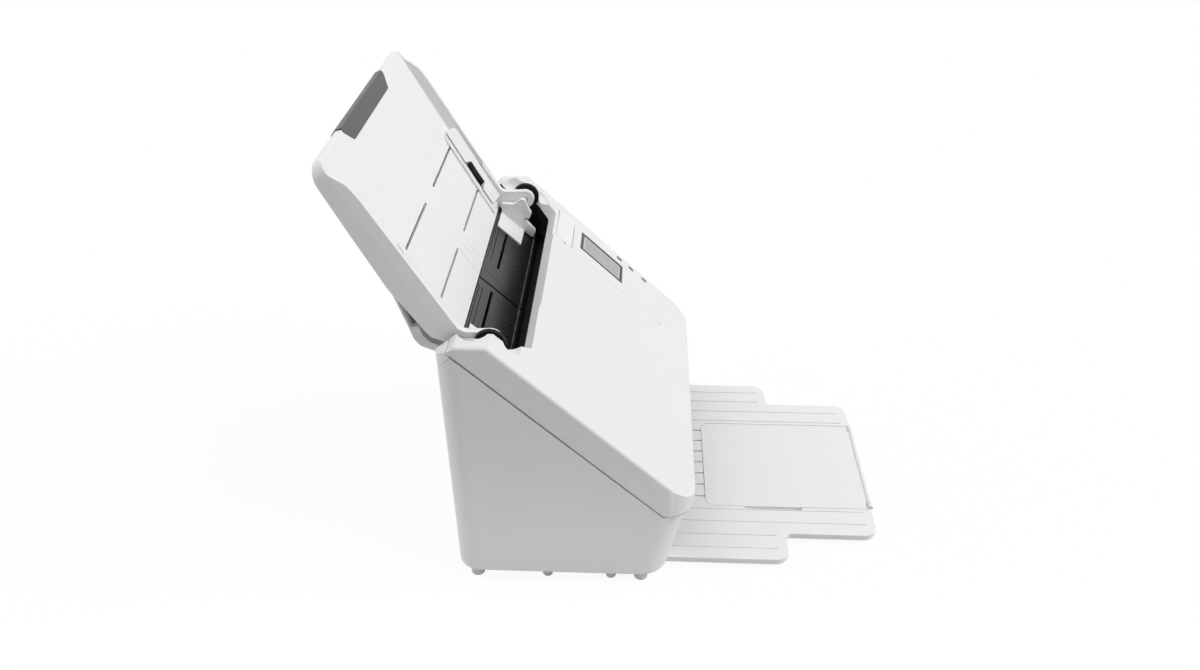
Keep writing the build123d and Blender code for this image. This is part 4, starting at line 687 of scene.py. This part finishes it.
class Smoother:
    """Modifiers that shade a CAD mesh smooth across its curved faces and keep its edges."""

    MERGE = 0.001 * MM
    EDGE_ANGLE = math.radians(32)
    FACE_WEIGHT = 80

    def __init__(self) -> None:
        """Makes the node group once."""
        g = Shape("smooth_curved_faces")
        merged = g.node("GeometryNodeMergeByDistance", {}, {0: g.start, "Distance": self.MERGE})
        faces = g.node("GeometryNodeSetShadeSmooth", {"domain": "FACE"}, {0: merged})
        sharp = g.node("GeometryNodeInputMeshEdgeAngle") > self.EDGE_ANGLE
        sockets = {0: faces, "Selection": sharp, "Shade Smooth": False}
        g.end(g.node("GeometryNodeSetShadeSmooth", {"domain": "EDGE"}, sockets))
        self.group = g.tree

    def smooth(self, obj: bpy.types.Object) -> None:
        """Adds the smoothing and the weighted normals to one object."""
        obj.modifiers.new("smooth", "NODES").node_group = self.group
        weighted = obj.modifiers.new("weighted", "WEIGHTED_NORMAL")
        weighted.keep_sharp = True
        weighted.weight = self.FACE_WEIGHT


@dataclass
class NoseTrim:
    """Modifier that keeps the cover's nose level with the slope and its two side bands."""

    band_start_mm: float = 116.0
    band_fall: float = 0.1087
    reach_mm: float = 30.0

    def fit(self, cover: bpy.types.Object) -> None:
        """Points of the nose above the slope, or above the bands that fall away, drop on to them."""
        g = Shape("trim_nose")
        x, y, z = g.axes()
        limit = (x.size() - self.band_start_mm * MM).larger(0.0) * -self.band_fall
        over = (_off_slope(y, z) - limit).larger(0.0) * (_along_slope(y, z) < self.reach_mm * MM)
        parts = {1: over * math.sin(SLOPE_ANGLE), 2: over * -math.cos(SLOPE_ANGLE)}
        drop = g.node("ShaderNodeCombineXYZ", {}, parts)
        g.end(g.node("GeometryNodeSetPosition", {}, {"Geometry": g.start, "Offset": drop}))
        cover.modifiers.new("trim_nose", "NODES").node_group = g.tree
        log.info("trimmed the nose of %s", cover.name)


# Surfaces worked out with numpy

def slope_frame(x: Grid, s: Grid, h: Grid) -> Grid:
    """Points given across, up and off the cover's slope, in millimetres, as places in the frame.

    y = foot + s cos(a) - h sin(a) and z = foot + s sin(a) + h cos(a), with a the slope's angle.
    """
    c, n = math.cos(SLOPE_ANGLE), math.sin(SLOPE_ANGLE)
    y = SLOPE_FOOT[1] + SHIFT_Y + s * c - h * n
    z = SLOPE_FOOT[2] + s * n + h * c
    return np.stack([x + 0 * y, y, z], axis=-1) * MM


def chute_frame(x: Grid, s: Grid, h: Grid) -> Grid:
    """Points given across, up and off the chute's face, in millimetres, as places in the frame.

    y = foot + s sin(b) - h cos(b) and z = foot + s cos(b) + h sin(b), with b the chute's lean.
    """
    c, n = math.cos(CHUTE_LEAN), math.sin(CHUTE_LEAN)
    y = CHUTE_FOOT[1] + SHIFT_Y + s * n - h * c
    z = CHUTE_FOOT[2] + s * c + h * n
    return np.stack([x + 0 * y, y, z], axis=-1) * MM


def upright_frame(x: Grid, y: Grid, z: Grid) -> Grid:
    """Points given in millimetres from the casing's back face, as places in the frame."""
    return np.stack([x, y + SHIFT_Y, z], axis=-1) * MM


def ring_faces(rows: int, columns: int) -> list[Face]:
    """Quads between neighbouring rings of points."""
    r = np.arange(rows - 1)[:, None] * columns
    c = np.arange(columns)[None, :]
    after = (c + 1) % columns
    quads = np.stack([r + c, r + after, r + columns + after, r + columns + c], -1)
    return [tuple(q) for q in quads.reshape(-1, 4).tolist()]


def make_piece(name: str, points: Grid, faces: list[Face], body: str) -> bpy.types.Object:
    """Makes an object from points and faces, smooth shaded, riding on a body.

    Args:
        name: the piece's name.
        points: its places in the frame, in metres.
        faces: indices of its corners.
        body: the CAD body that carries it.

    Returns:
        The object, at the origin.
    """
    mesh = bpy.data.meshes.new(name)
    mesh.from_pydata(points.reshape(-1, 3).tolist(), [], faces)
    mesh.validate()
    shape = bmesh.new()
    shape.from_mesh(mesh)
    bmesh.ops.recalc_face_normals(shape, faces=shape.faces)
    shape.to_mesh(mesh)
    shape.free()
    mesh.polygons.foreach_set("use_smooth", np.ones(len(mesh.polygons), bool))
    obj = bpy.data.objects.new(name, mesh)
    bpy.context.scene.collection.objects.link(obj)
    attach(obj, body)
    return obj


def ring_stack(rings: Grid) -> Surface:
    """A closed surface through a stack of rings, with an n-gon at each end.

    Args:
        rings: points, shaped (rings, corners, 3).

    Returns:
        The points and the faces.
    """
    rows, columns = rings.shape[:2]
    faces = ring_faces(rows, columns)
    faces.append(tuple(range(columns))[::-1])
    faces.append(tuple(range((rows - 1) * columns, rows * columns)))
    return rings.reshape(-1, 3), faces


def joined(parts: Iterable[Surface]) -> Surface:
    """Several surfaces as one; the corner numbers of each follow on from those before it."""
    points, faces, count = [], [], 0
    for one, quads in parts:
        points.append(one)
        faces += [tuple(i + count for i in q) for q in quads]
        count += len(one)
    return np.concatenate(points), faces


def turned_rings(profile: Levels, turns: int = 48) -> tuple[Grid, Grid, Grid]:
    """Rings of a turned profile: radius r at height h gives (r cos t, r sin t, h) for t over a full turn.

    Args:
        profile: (radius, height) pairs in millimetres.
        turns: how many corners each ring has.

    Returns:
        Two radial coordinates and the height, each shaped (profile, turns).
    """
    radius, height = np.array(profile).T
    t = np.linspace(0, 2 * math.pi, turns, endpoint=False)
    return np.outer(radius, np.cos(t)), np.outer(radius, np.sin(t)), np.repeat(height[:, None], turns, 1)


def oval_rings(half_w: float, half_l: float, levels: Levels, power: float,
               turns: int = 64) -> tuple[Grid, Grid, Grid]:
    """Rings of a rounded rectangle: |x/a|^p + |s/b|^p = 1, drawn in by each level's inset.

    Args:
        half_w: half width a in millimetres.
        half_l: half length b.
        levels: (inset, height) pairs.
        power: p; larger is squarer.
        turns: corners of each ring.

    Returns:
        Coordinates across, along and up, each shaped (levels, turns).
    """
    inset, height = np.array(levels).T
    t = np.linspace(0, 2 * math.pi, turns, endpoint=False)
    across = np.sign(np.cos(t)) * np.abs(np.cos(t)) ** (2 / power)
    along = np.sign(np.sin(t)) * np.abs(np.sin(t)) ** (2 / power)
    a = np.outer(half_w - inset, across)
    b = np.outer(half_l - inset, along)
    return a, b, np.repeat(height[:, None], turns, 1)


@dataclass
class Feet:
    """Rubber feet, turned with a rounded tread and a shallow dish."""

    wardrobe: Wardrobe
    x_mm: float = 140.0
    height_mm: float = 10.6
    kinds: tuple[tuple[str, str, float, tuple[float, float]], ...] = (
        ("rubber_feet_large", "large_feet", 6.0, (-16.5, -160.6)),
        ("rubber_feet_small", "small_feet", 4.5, (-78.5, -134.3)))

    def profile(self, radius: float) -> Levels:
        """Outline from the dish's middle, round the tread and up the stem to the rim."""
        r, top = radius, self.height_mm
        return [(0.3, 0.7), (r * 0.45, 0.6), (r * 0.6, 0.12), (r * 0.74, 0.0), (r * 0.9, 0.25),
                (r * 0.98, 0.9), (r, 2.0), (r * 0.99, 5.0), (r * 0.96, top - 1.6), (r * 0.93, top - 0.8),
                (r * 0.85, top - 0.02)]

    def build(self) -> None:
        """Builds both sizes, each as one piece of four feet."""
        for name, node, radius, places in self.kinds:
            u, v, h = turned_rings(self.profile(radius))
            points, faces = joined(ring_stack(upright_frame(x - u, y + v, h))
                                   for x in (-self.x_mm, self.x_mm) for y in places)
            piece = make_piece(name, points, faces, "base")
            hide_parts(node)
            self.wardrobe.dress(piece, FOOT_RUBBER)
            log.info("built %s", name)


@dataclass
class PanelKeys:
    """Three small oval keys with crowned tops."""

    wardrobe: Wardrobe
    x_mm: float = 138.0
    half_w_mm: float = 2.2
    half_l_mm: float = 3.5
    top_mm: float = -1.9
    squareness: float = 3.0
    levels_mm: Levels = ((0.0, -4.2), (0.0, -0.55), (0.08, -0.25), (0.3, -0.02), (0.8, 0.14), (1.4, 0.22),
                         (1.95, 0.25))
    keys: tuple[tuple[float, str, Finish], ...] = (
        (108.9, "key_one", KEY_GREY), (92.1, "key_two", KEY_GREY), (73.0, "key_three", KEY_BLUE))

    def build(self) -> None:
        """Builds each key over its CAD node."""
        for number, (s, body, finish) in enumerate(self.keys, start=1):
            a, b, h = oval_rings(self.half_w_mm, self.half_l_mm, self.levels_mm, self.squareness)
            points, faces = ring_stack(slope_frame(self.x_mm + a, s + b, self.top_mm + h))
            node = f"panel_key_{number}"
            piece = make_piece(f"key_cap_{number}", points, faces, body)
            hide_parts(node)
            self.wardrobe.dress(piece, finish)
            log.info("built %s", piece.name)


@dataclass
class DisplayWindow:
    """Display lens with softened edges, over the CAD window."""

    wardrobe: Wardrobe
    centre_mm: tuple[float, float] = DISPLAY.centre_mm
    half_mm: tuple[float, float] = DISPLAY.half_mm
    squareness: float = 24.0
    corners: int = 128
    levels_mm: Levels = ((0.0, -0.9), (0.0, -0.15), (0.06, -0.05), (0.2, 0.0), (1.5, 0.02), (6.0, 0.03))

    def build(self) -> None:
        """A rounded slab: the outline draws in over its top edge."""
        a, b, h = oval_rings(*self.half_mm, self.levels_mm, self.squareness, self.corners)
        points, faces = ring_stack(slope_frame(self.centre_mm[0] + a, self.centre_mm[1] + b, h))
        piece = make_piece("display_lens", points, faces, "front_cover")
        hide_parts("display_glass")
        self.wardrobe.dress(piece, DISPLAY)
        log.info("built display lens")


@dataclass
class DeckRibs:
    """Low ribs near the feed plate's lower edge, which lift the paper to the first roller."""

    wardrobe: Wardrobe
    places_mm: tuple[float, ...] = (18.5, 27.0, 34.8, 43.0, 51.2, 61.5)
    reach_mm: tuple[float, float] = (195.6, 204.8)
    half_w_mm: float = 0.55
    plate_h_mm: float = -37.0
    squareness: float = 3.0
    corners: int = 24
    levels_mm: Levels = ((0.0, -0.3), (0.0, 0.2), (0.12, 0.38), (0.3, 0.46), (0.5, 0.48))

    def build(self) -> None:
        """Builds all ribs as one piece; each is a long crowned oval."""
        low, high = self.reach_mm
        middle, half = (low + high) / 2, (high - low) / 2
        a, b, h = oval_rings(self.half_w_mm, half, self.levels_mm, self.squareness, self.corners)
        points, faces = joined(ring_stack(slope_frame(x + a, middle + b, self.plate_h_mm + h))
                               for x in (*(-p for p in self.places_mm), *self.places_mm))
        piece = make_piece("deck_ribs", points, faces, "base")
        self.wardrobe.dress(piece, RIB_BLACK)
        log.info("built deck ribs")


@dataclass
class GuideShades:
    """Dark fillings of each upper guide's window and of the undercut along its foot, which stand in for the
    shade in them: painted shade.

    Each section is a row of places across and off the chute's face, and its reach runs up the face.
    """

    wardrobe: Wardrobe
    window_mm: Levels = ((104.6, 1.85), (110.25, 1.85), (110.25, 5.4))
    window_reach_mm: tuple[float, float] = (-47.5, -24.5)
    undercut_mm: Levels = ((105.2, 1.85), (106.0, 1.85), (106.0, 2.55), (105.2, 2.55))
    undercut_reach_mm: tuple[float, float] = (-69.0, 10.0)

    def _filling(self, section: Levels, reach: tuple[float, float], sign: float) -> Surface:
        """One section drawn along the guide of one side."""
        x, h = np.array(section).T
        s = np.array(reach)[:, None] + 0 * x
        return ring_stack(chute_frame(sign * x + 0 * s, s, h + 0 * s))

    def build(self) -> None:
        """Builds both fillings of each side as one piece."""
        for side, sign in SIDES:
            points, faces = joined((self._filling(self.window_mm, self.window_reach_mm, sign),
                                    self._filling(self.undercut_mm, self.undercut_reach_mm, sign)))
            piece = make_piece(f"guide_shade_{side}", points, faces, f"guide_{side}")
            # the fillings are dark sheets of painted shade
            self.wardrobe.dress(piece, SATIN_BLACK)
            log.info("built %s", piece.name)


@dataclass
class CheekBowls:
    """Bottoms of the hollows in the cover's two cheeks, where they reach into the cover."""

    wardrobe: Wardrobe
    centre_mm: Triple = (127.0, -29.0, 253.0)
    towards: Triple = (0.67, 0.0, -0.74)
    radii_mm: tuple[float, float] = (13.08, 13.6)
    pole: float = 0.01
    spread: float = math.radians(38)
    rings: int = 12
    corners: int = 40

    def build(self) -> None:
        """A shell between the caps of two spheres, from the pole out to the spread.

        Its points are centre + r (d cos t + (e cos p + f sin p) sin t).
        """
        t = np.linspace(self.pole, self.spread, self.rings)
        t = np.concatenate([t, t[::-1]])[:, None]
        r = np.repeat(self.radii_mm, self.rings)[:, None]
        p = np.linspace(0, 2 * math.pi, self.corners, endpoint=False)[None, :]
        for side, sign in SIDES:
            d = np.array(self.towards) * (sign, 1.0, 1.0)
            d /= np.linalg.norm(d)
            e = np.cross(d, (0.0, 1.0, 0.0))
            f = np.cross(d, e)
            middle = np.array(self.centre_mm) * (sign, 1.0, 1.0)
            x, y, z = (middle[i] + r * (d[i] * np.cos(t) + (e[i] * np.cos(p) + f[i] * np.sin(p)) * np.sin(t))
                       for i in range(3))
            points, faces = ring_stack(upright_frame(x, y, z))
            piece = make_piece(f"cheek_bowl_{side}", points, faces, "front_cover")
            self.wardrobe.dress(piece, COVER)
            log.info("built %s", piece.name)


# Stage

@dataclass
class Camera:
    """The photograph's camera, from the fitted place, turn and focal length."""

    place_mm: Triple = (-726.39, -153.67, 654.60)
    yaw: float = 2.707
    pitch: float = 34.16
    roll: float = -0.361
    focal_px: float = 962.87
    image_px: int = 1200
    sensor_mm: float = 36.0
    nearest_m: float = 0.01

    def build(self) -> None:
        """Looks along (cos yaw cos pitch, sin yaw cos pitch, -sin pitch), rolled about that line."""
        yaw, pitch, roll = (math.radians(a) for a in (self.yaw, self.pitch, self.roll))
        level = math.cos(pitch)
        ahead = np.array([math.cos(yaw) * level, math.sin(yaw) * level, -math.sin(pitch)])
        right = np.array([math.sin(yaw), -math.cos(yaw), 0.0])
        up = np.cross(right, ahead)
        x = math.cos(roll) * right + math.sin(roll) * up
        y = -math.sin(roll) * right + math.cos(roll) * up
        data = bpy.data.cameras.new("camera")
        data.sensor_width = self.sensor_mm
        data.lens = self.focal_px * self.sensor_mm / self.image_px
        data.clip_start = self.nearest_m
        camera = bpy.data.objects.new("camera", data)
        bpy.context.scene.collection.objects.link(camera)
        turn = Matrix([[x[i], y[i], -ahead[i]] for i in range(3)]).to_4x4()
        place = upright_frame(*(np.array(p) for p in self.place_mm))
        camera.matrix_world = Matrix.Translation(place.tolist()) @ turn
        bpy.context.scene.camera = camera


@dataclass(frozen=True)
class Sun:
    """A broad lamp: the direction it stands in, its level and its spread in degrees.

    Level 1 lights a facing white surface to its own colour.
    """

    name: str
    towards: Triple
    level: float
    spread: float


@dataclass
class Studio:
    """White floor, pale sky, four broad lamps and a low panel beside the object."""

    sky: float = 0.25
    floor: float = 0.5
    floor_half_m: float = 6.0
    floor_glow: float = 0.93
    suns: tuple[Sun, ...] = (
        Sun("key_lamp", (-0.06, -0.62, 0.77), 0.60, 40),
        Sun("rear_lamp", (0.10, 0.93, 0.36), 0.32, 60),
        Sun("top_lamp", (0.05, 0.35, 0.93), 0.14, 40),
        Sun("front_fill", (0.0, -0.97, 0.24), 0.12, 60))
    panel_watts: float = 0.07
    panel_place_m: Triple = (-0.27, 0.0, 0.035)
    panel_size_m: tuple[float, float] = (0.9, 0.05)

    def build(self) -> None:
        """Builds the floor, the sky and the lamps."""
        self._floor()
        self._sky()
        for sun in self.suns:
            self._sun(sun)
        self._panel()

    def _floor(self) -> None:
        """A wide plane that is white to the camera and keeps a soft shadow."""
        h = self.floor_half_m
        mesh = bpy.data.meshes.new("floor")
        mesh.from_pydata([(-h, -h, 0), (h, -h, 0), (h, h, 0), (-h, h, 0)], [], [(0, 1, 2, 3)])
        floor = bpy.data.objects.new("floor", mesh)
        bpy.context.scene.collection.objects.link(floor)
        s = Shader.named("floor_white")
        glow = s.node("ShaderNodeEmission", {}, {"Color": (1, 1, 1, 1), "Strength": 1.0})
        lit = s.node("ShaderNodeBsdfDiffuse", {}, {"Color": (1, 1, 1, 1)})
        shown = s.node("ShaderNodeMixShader", {}, {0: self.floor_glow, 1: lit, 2: glow})
        given = s.node("ShaderNodeBsdfDiffuse", {}, {"Color": (*(self.floor,) * 3, 1)})
        s.finish(s.node("ShaderNodeMixShader", {}, {0: self._seen(s), 1: given, 2: shown}))
        mesh.materials.append(s.owner)

    @staticmethod
    def _seen(s: Shader) -> Sock:
        """One for camera, glossy and transmission rays."""
        path = s.node("ShaderNodeLightPath").socket.node.outputs
        rays = [Sock(s, path[name]) for name in ("Is Camera Ray", "Is Glossy Ray", "Is Transmission Ray")]
        return rays[0].larger(rays[1]).larger(rays[2])

    def _sky(self) -> None:
        """White behind the object, and a plain even light on it."""
        world = bpy.data.worlds.new("sky")
        bpy.context.scene.world = world
        s = Shader(world)
        level = self._seen(s) * (1.0 - self.sky) + self.sky
        sky = s.node("ShaderNodeBackground", {}, {"Color": (1, 1, 1, 1), "Strength": level})
        s.finish(sky, "ShaderNodeOutputWorld")

    def _sun(self, sun: Sun) -> None:
        """A lamp that shines the same on everything, wherever it hangs."""
        data = bpy.data.lights.new(sun.name, "SUN")
        data.energy = sun.level * math.pi
        data.angle = math.radians(sun.spread)
        self._hang(data, (0.0, 0.0, 1.0), sun.towards)

    def _panel(self) -> None:
        """A low panel that brightens the lower part of the near side, and isn't seen itself."""
        data = bpy.data.lights.new("side_panel", "AREA")
        data.shape = "RECTANGLE"
        data.size, data.size_y = self.panel_size_m
        data.energy = self.panel_watts
        lamp = self._hang(data, self.panel_place_m, (-1.0, 0.0, 0.0))
        lamp.visible_camera = lamp.visible_glossy = False

    @staticmethod
    def _hang(data: bpy.types.Light, place: Triple, back: Triple) -> bpy.types.Object:
        """Puts a lamp at a place with its back towards a direction; its long side stays level."""
        lamp = bpy.data.objects.new(data.name, data)
        bpy.context.scene.collection.objects.link(lamp)
        direction = np.array(back) / np.linalg.norm(back)
        side = np.cross((0.0, 0.0, 1.0), direction)
        side /= np.linalg.norm(side)
        up = np.cross(direction, side)
        turn = Matrix([[side[i], up[i], direction[i]] for i in range(3)]).to_4x4()
        lamp.matrix_world = Matrix.Translation(place) @ turn
        return lamp


def dress_nodes(wardrobe: Wardrobe) -> None:
    """Gives every CAD node its finish and smooth curved faces."""
    smoother = Smoother()
    NoseTrim().fit(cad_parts["cover_shell"])
    for finish, nodes in DRESS.items():
        for node in nodes:
            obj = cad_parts[node]
            wardrobe.dress(obj, finish)
            smoother.smooth(obj)
            log.info("dressed %s in %s", node, finish.name)


def main() -> None:
    """Builds the stage, dresses the CAD nodes and adds the pieces."""
    Camera().build()
    Studio().build()
    wardrobe = Wardrobe()
    dress_nodes(wardrobe)
    Feet(wardrobe).build()
    PanelKeys(wardrobe).build()
    DisplayWindow(wardrobe).build()
    DeckRibs(wardrobe).build()
    GuideShades(wardrobe).build()
    CheekBowls(wardrobe).build()
    bpy.context.scene.view_settings.view_transform = "Standard"


if __name__ == "__main__":
    main()
